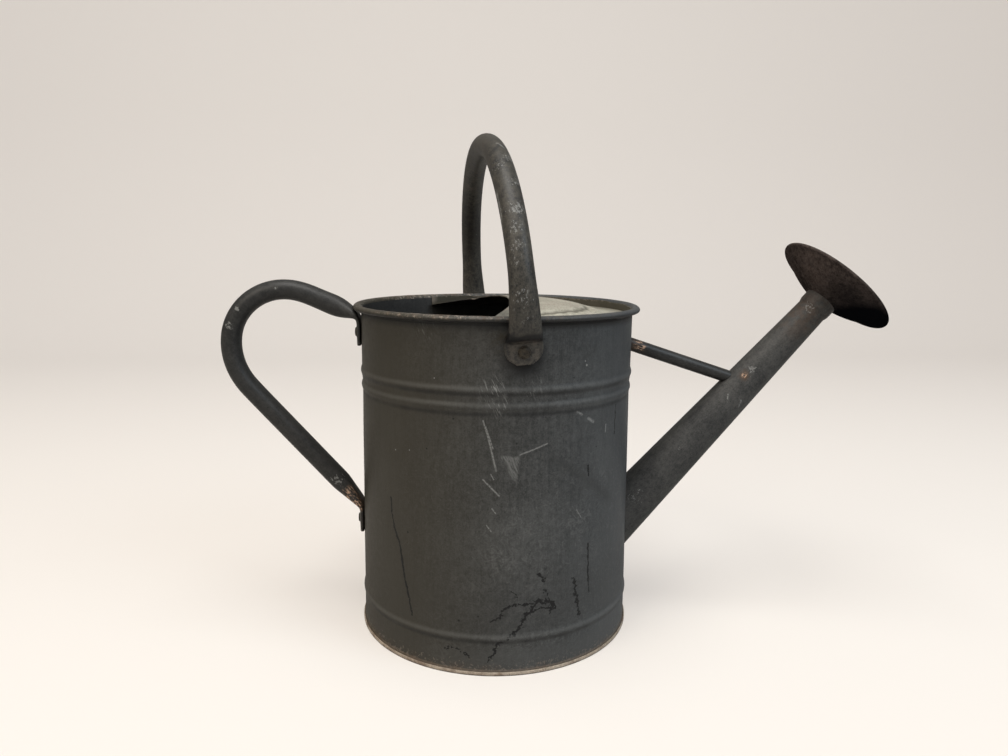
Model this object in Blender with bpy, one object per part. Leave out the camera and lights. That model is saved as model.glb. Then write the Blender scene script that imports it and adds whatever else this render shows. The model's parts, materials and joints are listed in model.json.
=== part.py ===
"""A weathered sheet steel watering can with a tube carrying handle that swings.

The origin is the centre of the underside of the bottom disc. The foot seam
reaches BASE_RECESS lower, and that is the floor. +X points to the spout, -X
to the rear handle, -Y is the side seen in front, and +Z is up.
All lengths are metres and all angles are degrees.
"""
import math

import bmesh
import bpy
from mathutils import Vector

# Sheet, clearances and facets
SHEET = 0.0007
GAP = 0.0003
WALL_FACETS = 48
TUBE_SIDES = 12
FINE_SIDES = 24
ROSE_FACETS = 36
SMOOTH_ANGLE = 40.0
MITRE_LIMIT = 0.3
HEADING_REACH = 0.0008
BEND_STEP = 0.0010

# Can wall, heights from the floor
CAN_HEIGHT = 0.2367
WALL_TOP_RADIUS = 0.0981
WALL_WAIST_DRAW = 0.0005
WALL_BASE_FLARE = 0.0013
ROLL_RADIUS = 0.00275
ROLL_SWEEP = 300.0
ROLL_STEPS = 9
BEAD_WIDTH = 0.0062
BEAD_RISE = 0.0011
BEAD_STEPS = 4
FIRST_BEAD_DROP = 0.0449
SECOND_BEAD_DROP = 0.0548
LOWER_BEAD_HEIGHT = 0.0290

# Bottom disc and the foot seam that folds round the wall's lower edge
BASE_RECESS = 0.0030
HEM_HEIGHT = 0.0026

# Half cover: a plate set in the mouth, with a vaulted hood
COVER_DROP = 0.0070
COVER_FACETS = 16
COVER_ROWS = 9
FLANGE_TOP_DROP = 0.0012
CREST_X = 0.0080
MOUTH_POWER = 2.6
MOUTH_CORNER = 0.0040
TIER_RISE = 0.0030
TIER_RADIUS = 0.0700
TIER_SLOPE = 0.0100
VAULT_RISE = 0.0072
VAULT_REACH = 0.0600
VAULT_HALF_WIDTH = 0.0560
VAULT_POWER = 0.65
HOOD_LEAN = 0.040
CORNER_SAG = 0.0026
SAG_START = -0.0100
SAG_REACH = 0.0350

# Spout
SPOUT_HEIGHT = 0.0744
SPOUT_ANGLE = 47.6
SPOUT_LENGTH = 0.2215
SPOUT_BASE_RADIUS = 0.0182
SPOUT_TIP_RADIUS = 0.0110
SPOUT_INSIDE = 0.0300
SPOUT_HOLE_RADIUS = 0.0160

# Rose
ROSE_RADIUS = 0.0470
ROSE_DEPTH = 0.0166
ROSE_LAP = 0.0080
ROSE_FLANGE = 0.0040
ROSE_BELL_STEPS = 6
ROSE_BULGE = 0.25
ROSE_LIP = 0.0034
FACE_DOME = 0.0030
FACE_HOLE_RADIUS = 0.0010
FACE_HOLE_SIDES = 6
FACE_HOLE_RINGS = 4
FACE_HOLE_PITCH = 0.0096

# Brace between the wall and the spout
BRACE_RADIUS = 0.0049
BRACE_WALL = 0.0009
BRACE_DROP = 0.0300
BRACE_ANGLE = 18.2

# Tube handles, pressed flat to riveted tabs at their ends
TUBE_RADIUS = 0.0080
TUBE_WALL = 0.0010
TAB_SLIT = 0.0004
TAB_END_LENGTH = 0.0080
TAB_END_STATIONS = (0.0, 0.07, 0.22, 0.50, 1.0)
TAB_BLUNT = 0.45
TAB_SQUARENESS = 3.0

# Rear handle
REAR_REACH = 0.0916
REAR_LOWER_ANGLE = 48.8
REAR_UPPER_ANGLE = 23.5
REAR_LOWER_FOLD = 0.0867
REAR_UPPER_FOLD_DROP = 0.0098
REAR_TAB_LENGTH = 0.0210
REAR_FOLD_BEND = 0.0060
REAR_LOW_BEND = 0.0460
REAR_TOP_BEND = 0.0385
REAR_BEND_FLAT = 0.12
REAR_LOWER_PINCH = 0.0270
REAR_UPPER_PINCH = 0.0320
REAR_LOWER_TAPER = 1.3
REAR_UPPER_TAPER = 3.5
REAR_STATION = 0.0095

# Carrying handle
CARRY_PIVOT_DROP = 0.0229
CARRY_TURN = 4.3
CARRY_LEAN = 4.5
CARRY_TAB_BELOW = 0.0076
CARRY_TAB_ABOVE = 0.0060
CARRY_JOGGLE = 0.0070
CARRY_STANDOFF = 0.0066
CARRY_JOGGLE_SHARE = 0.80
CARRY_SPRING = 0.0244
CARRY_ARCH = 0.1085
CARRY_LEG_FLAT = 0.62
CARRY_RIM_FLAT = 0.42
CARRY_TAPER = 0.0300
CARRY_STATION = 0.0125
CARRY_LINE_STEPS = 32

# Rivets
RIVET_RADIUS = 0.0024
RIVET_HOLE_CLEARANCE = 0.0003
RIVET_HEAD_RADIUS = 0.0041
RIVET_HEAD_HEIGHT = 0.0014
RIVET_TAIL_RADIUS = 0.0035
RIVET_TAIL_HEIGHT = 0.0013
DOME_SHOULDER = 0.93
DOME_CROWN = 0.55
REAR_RIVET_OFFSET = 0.0115

# Sizes that follow from those above
FLOOR = -BASE_RECESS
RIM_TOP = FLOOR + CAN_HEIGHT
WALL_WAIST_RADIUS = WALL_TOP_RADIUS - WALL_WAIST_DRAW
WALL_BASE_RADIUS = WALL_TOP_RADIUS + WALL_BASE_FLARE
ROLL_CENTRE_RADIUS = WALL_TOP_RADIUS - SHEET + ROLL_RADIUS
RIM_RADIUS = ROLL_CENTRE_RADIUS + ROLL_RADIUS
SHOULDER = RIM_TOP - (FIRST_BEAD_DROP + SECOND_BEAD_DROP) / 2
TAB_HALF_THICKNESS = TUBE_WALL + TAB_SLIT / 2
TAB_HALF_WIDTH = math.pi * (2 * TUBE_RADIUS - TUBE_WALL) / 4 + TUBE_WALL / 2
SPOUT_FOOT = FLOOR + SPOUT_HEIGHT
SPOUT_TILT = math.radians(90.0 - SPOUT_ANGLE)
ROSE_RIM = SPOUT_LENGTH + ROSE_DEPTH
CARRY_PIVOT = RIM_TOP - CARRY_PIVOT_DROP

# Paint and worn metal
PAINT = (0.085, 0.088, 0.088)
DARK_PAINT = (0.040, 0.038, 0.038)
PALE_PAINT = (0.210, 0.215, 0.195)
WORN_STEEL = (0.180, 0.165, 0.150)


def clear_scene():
    for item in list(bpy.data.objects):
        bpy.data.objects.remove(item, do_unlink=True)


def smooth_step(share):
    """Ease from 0 to 1 as share goes from 0 to 1."""
    share = min(max(share, 0.0), 1.0)
    return share * share * (3.0 - 2.0 * share)


def mix(start, end, share):
    return start + (end - start) * share


def make_material(name, colour, roughness, metallic):
    material = bpy.data.materials.new(name)
    material.use_nodes = True
    shader = material.node_tree.nodes["Principled BSDF"]
    shader.inputs["Base Color"].default_value = (*colour, 1.0)
    shader.inputs["Roughness"].default_value = roughness
    shader.inputs["Metallic"].default_value = metallic
    return material


def add_object(name, mesh_data, colour=PAINT, roughness=0.6, metallic=0.4):
    """Turn a bmesh into a named object with its own material, shaded smooth."""
    mesh = bpy.data.meshes.new(name)
    mesh_data.to_mesh(mesh)
    mesh_data.free()
    mesh.shade_smooth()
    mesh.set_sharp_from_angle(angle=math.radians(SMOOTH_ANGLE))
    mesh.materials.append(make_material(name + "_finish", colour, roughness, metallic))
    item = bpy.data.objects.new(name, mesh)
    bpy.context.scene.collection.objects.link(item)
    return item


def make_cutter(item):
    item.hide_render = True
    item.display_type = "WIRE"
    return item


def cut(item, cutter):
    modifier = item.modifiers.new("Cut by " + cutter.name, "BOOLEAN")
    modifier.operation = "DIFFERENCE"
    modifier.solver = "EXACT"
    modifier.object = cutter


def thick_outline(points, thickness):
    """Close a skin line into a sheet section.

    The sheet lies to the right of the line where thickness is positive and
    to the left where it is negative.
    """
    offset = []
    for i, (r, z) in enumerate(points):
        normals = []
        for a, b in ((i - 1, i), (i, i + 1)):
            if a < 0 or b >= len(points):
                continue
            run = Vector((points[b][0] - points[a][0], points[b][1] - points[a][1])).normalized()
            normals.append(Vector((run.y, -run.x)))
        middle = sum(normals, Vector((0.0, 0.0))).normalized()
        reach = thickness / max(middle.dot(normals[0]), MITRE_LIMIT)
        offset.append((r + middle.x * reach, z + middle.y * reach))
    return list(points) + offset[::-1]


def lathe(outline, facets):
    """Turn a closed outline of (radius, height) points round the Z axis."""
    shape = bmesh.new()
    verts = [shape.verts.new((r, 0.0, z)) for r, z in outline]
    edges = []
    for i, vert in enumerate(verts):
        other = verts[(i + 1) % len(verts)]
        if vert.co.x < GAP / 10 and other.co.x < GAP / 10:
            continue
        edges.append(shape.edges.new((vert, other)))
    bmesh.ops.spin(
        shape, geom=verts + edges, cent=(0, 0, 0), axis=(0, 0, 1),
        angle=2 * math.pi, steps=facets, use_merge=True)
    bmesh.ops.remove_doubles(shape, verts=shape.verts, dist=GAP / 30)
    bmesh.ops.recalc_face_normals(shape, faces=shape.faces)
    return shape


def rounded_path(corners, bends):
    """Points along a flat line of corners, each turned with its own bend radius."""
    points = [Vector(corners[0])]
    for i, bend in enumerate(bends, start=1):
        before, corner, after = (Vector(corners[k]) for k in (i - 1, i, i + 1))
        arrive = (corner - before).normalized()
        leave = (after - corner).normalized()
        turn = arrive.angle_signed(leave)
        setback = bend * math.tan(abs(turn) / 2)
        side = Vector((arrive.y, -arrive.x)) * math.copysign(1.0, turn)
        start = corner - arrive * setback
        centre = start + side * bend
        count = max(2, round(abs(turn) * bend / BEND_STEP))
        for k in range(count + 1):
            angle = turn * k / count
            spoke = start - centre
            swing = Vector((
                spoke.x * math.cos(angle) + spoke.y * math.sin(angle),
                spoke.y * math.cos(angle) - spoke.x * math.sin(angle)))
            points.append(centre + swing)
    points.append(Vector(corners[-1]))
    return points


def walk(points, distances):
    """Place and direction at each distance along a line of points."""
    lengths = [0.0]
    for a, b in zip(points, points[1:]):
        lengths.append(lengths[-1] + (b - a).length)

    def place(distance):
        distance = min(max(distance, 0.0), lengths[-1])
        for k in range(1, len(points)):
            if lengths[k] >= distance:
                span = lengths[k] - lengths[k - 1]
                share = (distance - lengths[k - 1]) / span if span else 0.0
                return points[k - 1].lerp(points[k], share)
        return points[-1]

    found = []
    for distance in distances:
        low = max(distance - HEADING_REACH, 0.0)
        high = min(distance + HEADING_REACH, lengths[-1])
        found.append((place(distance), (place(high) - place(low)).normalized()))
    return found


def path_length(points):
    return sum((b - a).length for a, b in zip(points, points[1:]))


def station_distances(total, first_stretch, last_stretch, spacing):
    """Distances with a fine spacing near both ends and an even one between."""
    fine = [TAB_END_LENGTH * share for share in TAB_END_STATIONS]
    near = TAB_END_LENGTH / 2
    distances = list(fine)
    count = round((first_stretch - TAB_END_LENGTH) / near)
    distances += [mix(TAB_END_LENGTH, first_stretch, k / count) for k in range(1, count + 1)]
    middle = total - last_stretch - first_stretch
    count = round(middle / spacing)
    distances += [first_stretch + middle * k / count for k in range(1, count)]
    count = round((last_stretch - TAB_END_LENGTH) / near)
    distances += [total - mix(last_stretch, TAB_END_LENGTH, k / count) for k in range(count + 1)]
    distances += [total - distance for distance in fine[-2::-1]]
    return distances


def end_width(distance, total):
    """Share of the full width near a tab's rounded end."""
    from_end = min(distance, total - distance)
    if from_end >= TAB_END_LENGTH:
        return 1.0
    rise = 1.0 - from_end / TAB_END_LENGTH
    return max(TAB_BLUNT, math.sqrt(1.0 - rise * rise))


def tube_ring(half_width, half_thickness, squareness):
    """Corners of one section, from a circle to a pressed flat tab."""
    ring = []
    for k in range(TUBE_SIDES):
        angle = 2 * math.pi * (k + 0.5) / TUBE_SIDES
        power = 2.0 / squareness
        across = math.copysign(abs(math.cos(angle)) ** power, math.cos(angle)) * half_width
        through = math.copysign(abs(math.sin(angle)) ** power, math.sin(angle)) * half_thickness
        ring.append((across, through))
    return ring


def swept_tube(stations):
    """Hollow tube through stations of (centre, side, normal, flatness, width share)."""
    shape = bmesh.new()
    rings = []
    for centre, side, normal, flatness, width_share in stations:
        half_thickness = mix(TUBE_RADIUS, TAB_HALF_THICKNESS, flatness)
        half_width = mix(TUBE_RADIUS, TAB_HALF_WIDTH, flatness) * width_share
        squareness = 2.0 + TAB_SQUARENESS * flatness * flatness
        pair = []
        for inset in (0.0, TUBE_WALL):
            ring = tube_ring(half_width - inset, half_thickness - inset, squareness)
            pair.append([shape.verts.new(centre + side * a + normal * b) for a, b in ring])
        rings.append(pair)
    for skin in (0, 1):
        for here, there in zip(rings, rings[1:]):
            for k in range(TUBE_SIDES):
                j = (k + 1) % TUBE_SIDES
                shape.faces.new((here[skin][k], here[skin][j], there[skin][j], there[skin][k]))
    for outer, inner in (rings[0], rings[-1]):
        for k in range(TUBE_SIDES):
            j = (k + 1) % TUBE_SIDES
            shape.faces.new((outer[k], outer[j], inner[j], inner[k]))
    bmesh.ops.recalc_face_normals(shape, faces=shape.faces)
    return shape


def wall_radius(z):
    """Outside radius of the can wall at height z, without its beads."""
    if z >= SHOULDER:
        return WALL_TOP_RADIUS
    share = (z - FLOOR) / (SHOULDER - FLOOR)
    return mix(WALL_BASE_RADIUS, WALL_WAIST_RADIUS, share)


def bead_rise(share):
    return BEAD_RISE * (1.0 - math.cos(2 * math.pi * share)) / 2


def wall_stations():
    """Heights along the wall and how far each stands proud of the plain wall."""
    stations = [(FLOOR + SHEET + GAP, 0.0)]
    beads = (FLOOR + LOWER_BEAD_HEIGHT, RIM_TOP - SECOND_BEAD_DROP, RIM_TOP - FIRST_BEAD_DROP)
    for middle in beads:
        for k in range(BEAD_STEPS + 1):
            share = k / BEAD_STEPS
            stations.append((middle + BEAD_WIDTH * (share - 0.5), bead_rise(share)))
    return stations


def wall_outline():
    inner = [(wall_radius(z) + rise - SHEET, z) for z, rise in wall_stations()]
    centre_z = RIM_TOP - ROLL_RADIUS
    for k in range(ROLL_STEPS + 1):
        angle = math.radians(180.0 - ROLL_SWEEP * k / ROLL_STEPS)
        inner.append((
            ROLL_CENTRE_RADIUS + ROLL_RADIUS * math.cos(angle),
            centre_z + ROLL_RADIUS * math.sin(angle)))
    return thick_outline(inner, SHEET)


def base_outline():
    skirt_outer = WALL_BASE_RADIUS - SHEET - GAP
    hem_outer = WALL_BASE_RADIUS + GAP + SHEET
    bend = 2 * SHEET
    corner = bend * (1.0 - math.sqrt(0.5))
    skirt_inner = skirt_outer - SHEET
    skin = [
        (0.0, 0.0),
        (skirt_inner - bend, 0.0),
        (skirt_inner - corner, -corner),
        (skirt_inner, -bend),
        (skirt_inner, FLOOR),
        (hem_outer, FLOOR),
        (hem_outer, FLOOR + HEM_HEIGHT),
    ]
    return thick_outline(skin, -SHEET)


def cover_top(x, y):
    """Height of the cover's upper face at a place in plan."""
    radius = math.hypot(x, y)
    tier = smooth_step((TIER_RADIUS + TIER_SLOPE - radius) / TIER_SLOPE)
    along = max(0.0, x - CREST_X) / VAULT_REACH
    across = y / VAULT_HALF_WIDTH
    inside = max(0.0, 1.0 - along * along - across * across)
    height = RIM_TOP - COVER_DROP + GAP
    height += tier * (TIER_RISE + HOOD_LEAN * y)
    height += VAULT_RISE * inside ** VAULT_POWER
    height -= CORNER_SAG * smooth_step((SAG_START - x) / SAG_REACH)
    return height


def build_cover():
    """Sheet from the arched mouth to the wall, turned up there as a flange."""
    facet = 2 * math.pi / WALL_FACETS
    flange_radius = WALL_TOP_RADIUS - SHEET - GAP
    corner_angle = COVER_FACETS * facet
    corner_x = flange_radius * math.cos(corner_angle)
    mouth_half = flange_radius * math.sin(corner_angle) - MOUTH_CORNER
    shape = bmesh.new()
    grid = []
    for j in range(-COVER_FACETS, COVER_FACETS + 1):
        share = j / COVER_FACETS
        wall = Vector((math.cos(j * facet), math.sin(j * facet))) * flange_radius
        mouth = Vector((CREST_X - (CREST_X - corner_x) * abs(share) ** MOUTH_POWER, mouth_half * share))
        line = []
        for i in range(COVER_ROWS + 1):
            place = mouth.lerp(wall, i / COVER_ROWS)
            line.append(shape.verts.new((place.x, place.y, cover_top(place.x, place.y) - SHEET)))
        line.append(shape.verts.new((wall.x, wall.y, RIM_TOP - FLANGE_TOP_DROP)))
        grid.append(line)
    for low, high in zip(grid, grid[1:]):
        for i in range(len(low) - 1):
            shape.faces.new((low[i], high[i], high[i + 1], low[i + 1]))
    item = add_object("top_cover", shape, PALE_PAINT, 0.65, 0.2)
    solid = item.modifiers.new("Sheet", "SOLIDIFY")
    solid.thickness = SHEET
    solid.offset = -1.0
    solid.use_even_offset = True
    return item


def on_spout(item):
    """Stand a piece that was turned about Z on the spout's axis."""
    item.location = (wall_radius(SPOUT_FOOT), 0.0, SPOUT_FOOT)
    item.rotation_euler = (0.0, SPOUT_TILT, 0.0)
    return item


def spout_radius(distance):
    return mix(SPOUT_BASE_RADIUS, SPOUT_TIP_RADIUS, distance / SPOUT_LENGTH)


def cone_outline(start, end, grow=0.0):
    return [
        (0.0, start), (spout_radius(start) + grow, start),
        (spout_radius(end) + grow, end), (0.0, end)]


def build_spout(wall_cutter):
    skin = [(spout_radius(s), s) for s in (-SPOUT_INSIDE, SPOUT_LENGTH)]
    spout = on_spout(add_object("spout", lathe(thick_outline(skin, -SHEET), FINE_SIDES)))
    cut(spout, wall_cutter)
    return spout


def build_rose():
    """Bell on the spout's end, folded round the edge of a pierced face."""
    lap_start = SPOUT_LENGTH - ROSE_LAP
    sleeve = spout_radius(lap_start) + GAP + SHEET
    flange_front = ROSE_RIM - 2 * GAP - SHEET
    flange_back = flange_front - SHEET
    bell_edge = ROSE_RADIUS - ROSE_FLANGE
    skin = [(sleeve, lap_start)]
    for k in range(ROSE_BELL_STEPS + 1):
        share = k / ROSE_BELL_STEPS
        angle = math.radians(90.0) * share
        outward = mix(share, math.sin(angle), ROSE_BULGE)
        forward = mix(share, 1.0 - math.cos(angle), ROSE_BULGE)
        skin.append((
            mix(sleeve, bell_edge, outward),
            mix(SPOUT_LENGTH + SHEET, flange_back, forward)))
    skin += [
        (ROSE_RADIUS, flange_back),
        (ROSE_RADIUS, ROSE_RIM + SHEET),
        (ROSE_RADIUS - ROSE_LIP, ROSE_RIM + SHEET),
    ]
    back = on_spout(add_object("rose_back", lathe(thick_outline(skin, -SHEET), ROSE_FACETS), DARK_PAINT))

    face_radius = ROSE_RADIUS - SHEET - GAP
    dome_radius = ROSE_RADIUS - ROSE_LIP - GAP
    shape = bmesh.new()

    def loop(centre_x, centre_y, radius, sides, turn=0.0):
        verts = []
        for k in range(sides):
            angle = 2 * math.pi * k / sides + turn
            x = centre_x + radius * math.cos(angle)
            y = centre_y + radius * math.sin(angle)
            dome = FACE_DOME * max(0.0, 1.0 - (x * x + y * y) / dome_radius ** 2)
            verts.append(shape.verts.new((x, y, ROSE_RIM - GAP + dome)))
        return verts

    edge = loop(0.0, 0.0, face_radius, ROSE_FACETS)
    bowl = loop(0.0, 0.0, dome_radius, ROSE_FACETS)
    loops = [bowl, loop(0.0, 0.0, FACE_HOLE_RADIUS, FACE_HOLE_SIDES)]
    for ring in range(1, FACE_HOLE_RINGS + 1):
        for k in range(6 * ring):
            angle = 2 * math.pi * k / (6 * ring)
            radius = ring * FACE_HOLE_PITCH
            loops.append(loop(
                radius * math.cos(angle), radius * math.sin(angle),
                FACE_HOLE_RADIUS, FACE_HOLE_SIDES, angle))
    fill_edges = []
    for verts in loops:
        for k, vert in enumerate(verts):
            fill_edges.append(shape.edges.new((vert, verts[(k + 1) % len(verts)])))
    bmesh.ops.triangle_fill(shape, edges=fill_edges, use_beauty=True, normal=(0, 0, 1))
    for k in range(ROSE_FACETS):
        j = (k + 1) % ROSE_FACETS
        shape.faces.new((edge[k], edge[j], bowl[j], bowl[k]))
    for face in shape.faces:
        face.normal_update()
        if face.normal.z < 0:
            face.normal_flip()
    face_plate = on_spout(add_object("rose_face", shape, DARK_PAINT))
    solid = face_plate.modifiers.new("Sheet", "SOLIDIFY")
    solid.thickness = SHEET
    solid.offset = -1.0
    return back, face_plate


def build_brace(wall_cutter):
    """Straight round tube, cut to lie on the wall and on the spout."""
    fall = math.tan(math.radians(BRACE_ANGLE))
    climb = math.tan(math.radians(SPOUT_ANGLE))
    start_x = wall_radius(RIM_TOP - BRACE_DROP)
    start_z = RIM_TOP - BRACE_DROP
    foot_x = wall_radius(SPOUT_FOOT)
    run = (start_z - SPOUT_FOOT + climb * (foot_x - start_x)) / (climb + fall)
    length = run / math.cos(math.radians(BRACE_ANGLE))
    inside = 2 * BRACE_RADIUS
    outline = [
        (BRACE_RADIUS, -inside), (BRACE_RADIUS, length),
        (BRACE_RADIUS - BRACE_WALL, length), (BRACE_RADIUS - BRACE_WALL, -inside)]
    brace = add_object("spout_brace", lathe(outline, TUBE_SIDES))
    brace.location = (start_x, 0.0, start_z)
    brace.rotation_euler = (0.0, math.radians(90.0 + BRACE_ANGLE), 0.0)
    spout_cutter = on_spout(make_cutter(add_object(
        "spout_outside", lathe(cone_outline(-SPOUT_INSIDE, SPOUT_LENGTH, GAP), FINE_SIDES))))
    cut(brace, wall_cutter)
    cut(brace, spout_cutter)
    return brace


def build_rear_handle():
    """Tube bent in the plane of the spout, with a flat tab at each end."""
    tab_offset = GAP + TAB_HALF_THICKNESS
    lower_z = FLOOR + REAR_LOWER_FOLD
    upper_z = RIM_TOP - REAR_UPPER_FOLD_DROP
    lower_x = -(wall_radius(lower_z - REAR_TAB_LENGTH) + tab_offset)
    upper_x = -(wall_radius(upper_z) + tab_offset)
    outer_x = -(WALL_TOP_RADIUS + REAR_REACH)
    low_slope = math.tan(math.radians(REAR_LOWER_ANGLE))
    top_slope = math.tan(math.radians(REAR_UPPER_ANGLE))
    corners = [
        (lower_x, lower_z - REAR_TAB_LENGTH),
        (lower_x, lower_z),
        (outer_x, lower_z + (lower_x - outer_x) * low_slope),
        (outer_x, upper_z + (upper_x - outer_x) * top_slope),
        (upper_x, upper_z),
        (upper_x, upper_z - REAR_TAB_LENGTH),
    ]
    bends = (REAR_FOLD_BEND, REAR_LOW_BEND, REAR_TOP_BEND, REAR_FOLD_BEND)
    line = rounded_path(corners, bends)
    total = path_length(line)
    lower_stretch = REAR_TAB_LENGTH + REAR_LOWER_PINCH
    upper_stretch = REAR_TAB_LENGTH + REAR_UPPER_PINCH
    distances = station_distances(total, lower_stretch, upper_stretch, REAR_STATION)
    side = Vector((0.0, 1.0, 0.0))
    stations = []
    for distance, (place, heading) in zip(distances, walk(line, distances)):
        lower = min(max((distance - REAR_TAB_LENGTH) / REAR_LOWER_PINCH, 0.0), 1.0)
        upper = min(max((total - distance - REAR_TAB_LENGTH) / REAR_UPPER_PINCH, 0.0), 1.0)
        bend = REAR_BEND_FLAT * smooth_step(lower) * smooth_step(upper)
        flatness = max((1.0 - lower) ** REAR_LOWER_TAPER, (1.0 - upper) ** REAR_UPPER_TAPER, bend)
        centre = Vector((place.x, 0.0, place.y))
        normal = Vector((heading.y, 0.0, -heading.x))
        stations.append((centre, side, normal, flatness, end_width(distance, total)))
    shape = swept_tube(stations)
    for vert in shape.verts:
        on_tab = vert.co.x > lower_x - 2 * TAB_HALF_THICKNESS
        if on_tab and not lower_z < vert.co.z < upper_z - REAR_TAB_LENGTH:
            radius = -lower_x if vert.co.z < lower_z else -upper_x
            vert.co.x += radius - math.sqrt(radius ** 2 - vert.co.y ** 2)
    return add_object("rear_handle", shape)


def carry_side(height):
    """Distance of the handle's leg from the pivot's middle, by height."""
    tab = wall_radius(CARRY_PIVOT) + GAP + TAB_HALF_THICKNESS
    arch = RIM_RADIUS + CARRY_STANDOFF
    shoulder = mix(tab, arch, CARRY_JOGGLE_SHARE)
    if height < CARRY_TAB_ABOVE + CARRY_JOGGLE:
        return mix(tab, shoulder, smooth_step((height - CARRY_TAB_ABOVE) / CARRY_JOGGLE))
    rest = CARRY_SPRING - CARRY_TAB_ABOVE - CARRY_JOGGLE
    share = (height - CARRY_TAB_ABOVE - CARRY_JOGGLE) / rest
    return mix(shoulder, arch, math.sin(math.radians(90.0) * min(share, 1.0)))


def carry_flatness(distance):
    """Flatness of the handle's tube by distance from its end."""
    tab = CARRY_TAB_BELOW + CARRY_TAB_ABOVE
    leg = tab + CARRY_JOGGLE + SHEET
    rim = CARRY_TAB_BELOW + CARRY_PIVOT_DROP + SHEET
    if distance < tab:
        return 1.0
    if distance < leg:
        return mix(1.0, CARRY_LEG_FLAT, smooth_step((distance - tab) / (leg - tab)))
    if distance < rim:
        return mix(CARRY_LEG_FLAT, CARRY_RIM_FLAT, (distance - leg) / (rim - leg))
    return mix(CARRY_RIM_FLAT, 0.0, smooth_step((distance - rim) / CARRY_TAPER))


def build_carrying_handle():
    """Tube arch over the mouth. Its origin is on the line through its rivets."""
    arch = RIM_RADIUS + CARRY_STANDOFF
    leg = []
    for k in range(CARRY_LINE_STEPS):
        height = mix(-CARRY_TAB_BELOW, CARRY_SPRING, k / CARRY_LINE_STEPS)
        leg.append(Vector((-carry_side(height), height)))
    half = list(leg)
    for k in range(CARRY_LINE_STEPS):
        angle = math.radians(90.0) * k / CARRY_LINE_STEPS
        half.append(Vector((-arch * math.cos(angle), CARRY_SPRING + CARRY_ARCH * math.sin(angle))))
    crown = Vector((0.0, CARRY_SPRING + CARRY_ARCH))
    line = half + [crown] + [Vector((-point.x, point.y)) for point in reversed(half)]
    total = path_length(line)
    stretch = CARRY_TAB_BELOW + CARRY_PIVOT_DROP + SHEET
    distances = station_distances(total, stretch, stretch, CARRY_STATION)
    side = Vector((1.0, 0.0, 0.0))
    stations = []
    for distance, (place, heading) in zip(distances, walk(line, distances)):
        flatness = carry_flatness(min(distance, total - distance))
        centre = Vector((0.0, place.x, place.y))
        normal = Vector((0.0, -heading.y, heading.x))
        stations.append((centre, side, normal, flatness, end_width(distance, total)))
    handle = add_object("carrying_handle", swept_tube(stations))
    handle.location = (0.0, 0.0, CARRY_PIVOT)
    handle.rotation_euler = (0.0, math.radians(-CARRY_LEAN), math.radians(CARRY_TURN))
    return handle


def place_rivet(item, azimuth, height):
    """Point a piece turned about Z outwards from the can's axis."""
    item.location = (0.0, 0.0, height)
    item.rotation_euler = (0.0, math.radians(90.0), math.radians(azimuth))
    return item


def dome(radius, start, height):
    """Outline of a rivet's head or tail, from its edge to the middle."""
    return [
        (radius, start), (radius * DOME_SHOULDER, start + height / 2),
        (radius * DOME_CROWN, start + height), (0.0, start + height)]


def build_rivet(name, azimuth, height, handle, wall):
    """Rivet with a domed head outside and a pressed tail inside, and its holes."""
    wall_outer = wall_radius(height)
    tab_outer = wall_outer + 2 * GAP + 2 * TAB_HALF_THICKNESS
    tail = wall_outer - SHEET - 2 * GAP
    outline = dome(RIVET_TAIL_RADIUS, tail, -RIVET_TAIL_HEIGHT)[::-1]
    outline += [(RIVET_RADIUS, tail), (RIVET_RADIUS, tab_outer)]
    outline += dome(RIVET_HEAD_RADIUS, tab_outer, RIVET_HEAD_HEIGHT)
    head = add_object(name, lathe(outline, TUBE_SIDES), WORN_STEEL, 0.5, 0.7)
    rivet = place_rivet(head, azimuth, height)
    hole = RIVET_RADIUS + RIVET_HOLE_CLEARANCE
    low = tail - RIVET_TAIL_HEIGHT
    high = tab_outer + RIVET_HEAD_HEIGHT
    bore = lathe([(0.0, low), (hole, low), (hole, high), (0.0, high)], TUBE_SIDES)
    cutter = place_rivet(make_cutter(add_object(name + "_hole", bore)), azimuth, height)
    cut(wall, cutter)
    cut(handle, cutter)
    return rivet


def build_wall_cutter():
    """Everything inside the wall's outer face, with the clearance added."""
    outer = [(wall_radius(z) + GAP, z) for z, _ in wall_stations()]
    outer.append((WALL_TOP_RADIUS + GAP, RIM_TOP))
    outline = [(0.0, outer[0][1])] + outer + [(0.0, RIM_TOP)]
    return make_cutter(add_object("wall_outside", lathe(outline, WALL_FACETS)))


def main():
    clear_scene()
    wall = add_object("can_wall", lathe(wall_outline(), WALL_FACETS))
    add_object("can_base", lathe(base_outline(), WALL_FACETS), WORN_STEEL, 0.7, 0.4)
    build_cover()

    wall_cutter = build_wall_cutter()
    build_spout(wall_cutter)
    spout_bore = [
        (0.0, -2 * SPOUT_INSIDE), (SPOUT_HOLE_RADIUS, -2 * SPOUT_INSIDE),
        (SPOUT_HOLE_RADIUS, SPOUT_INSIDE), (0.0, SPOUT_INSIDE)]
    cut(wall, on_spout(make_cutter(add_object("spout_opening", lathe(spout_bore, FINE_SIDES)))))
    build_rose()
    build_brace(wall_cutter)

    rear = build_rear_handle()
    carry = build_carrying_handle()
    lower_rivet = FLOOR + REAR_LOWER_FOLD - REAR_RIVET_OFFSET
    upper_rivet = RIM_TOP - REAR_UPPER_FOLD_DROP - REAR_RIVET_OFFSET
    build_rivet("rear_rivet_lower", 180.0, lower_rivet, rear, wall)
    build_rivet("rear_rivet_upper", 180.0, upper_rivet, rear, wall)
    build_rivet("carrying_rivet_front", CARRY_TURN - 90.0, CARRY_PIVOT, carry, wall)
    build_rivet("carrying_rivet_back", CARRY_TURN + 90.0, CARRY_PIVOT, carry, wall)


main()
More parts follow.
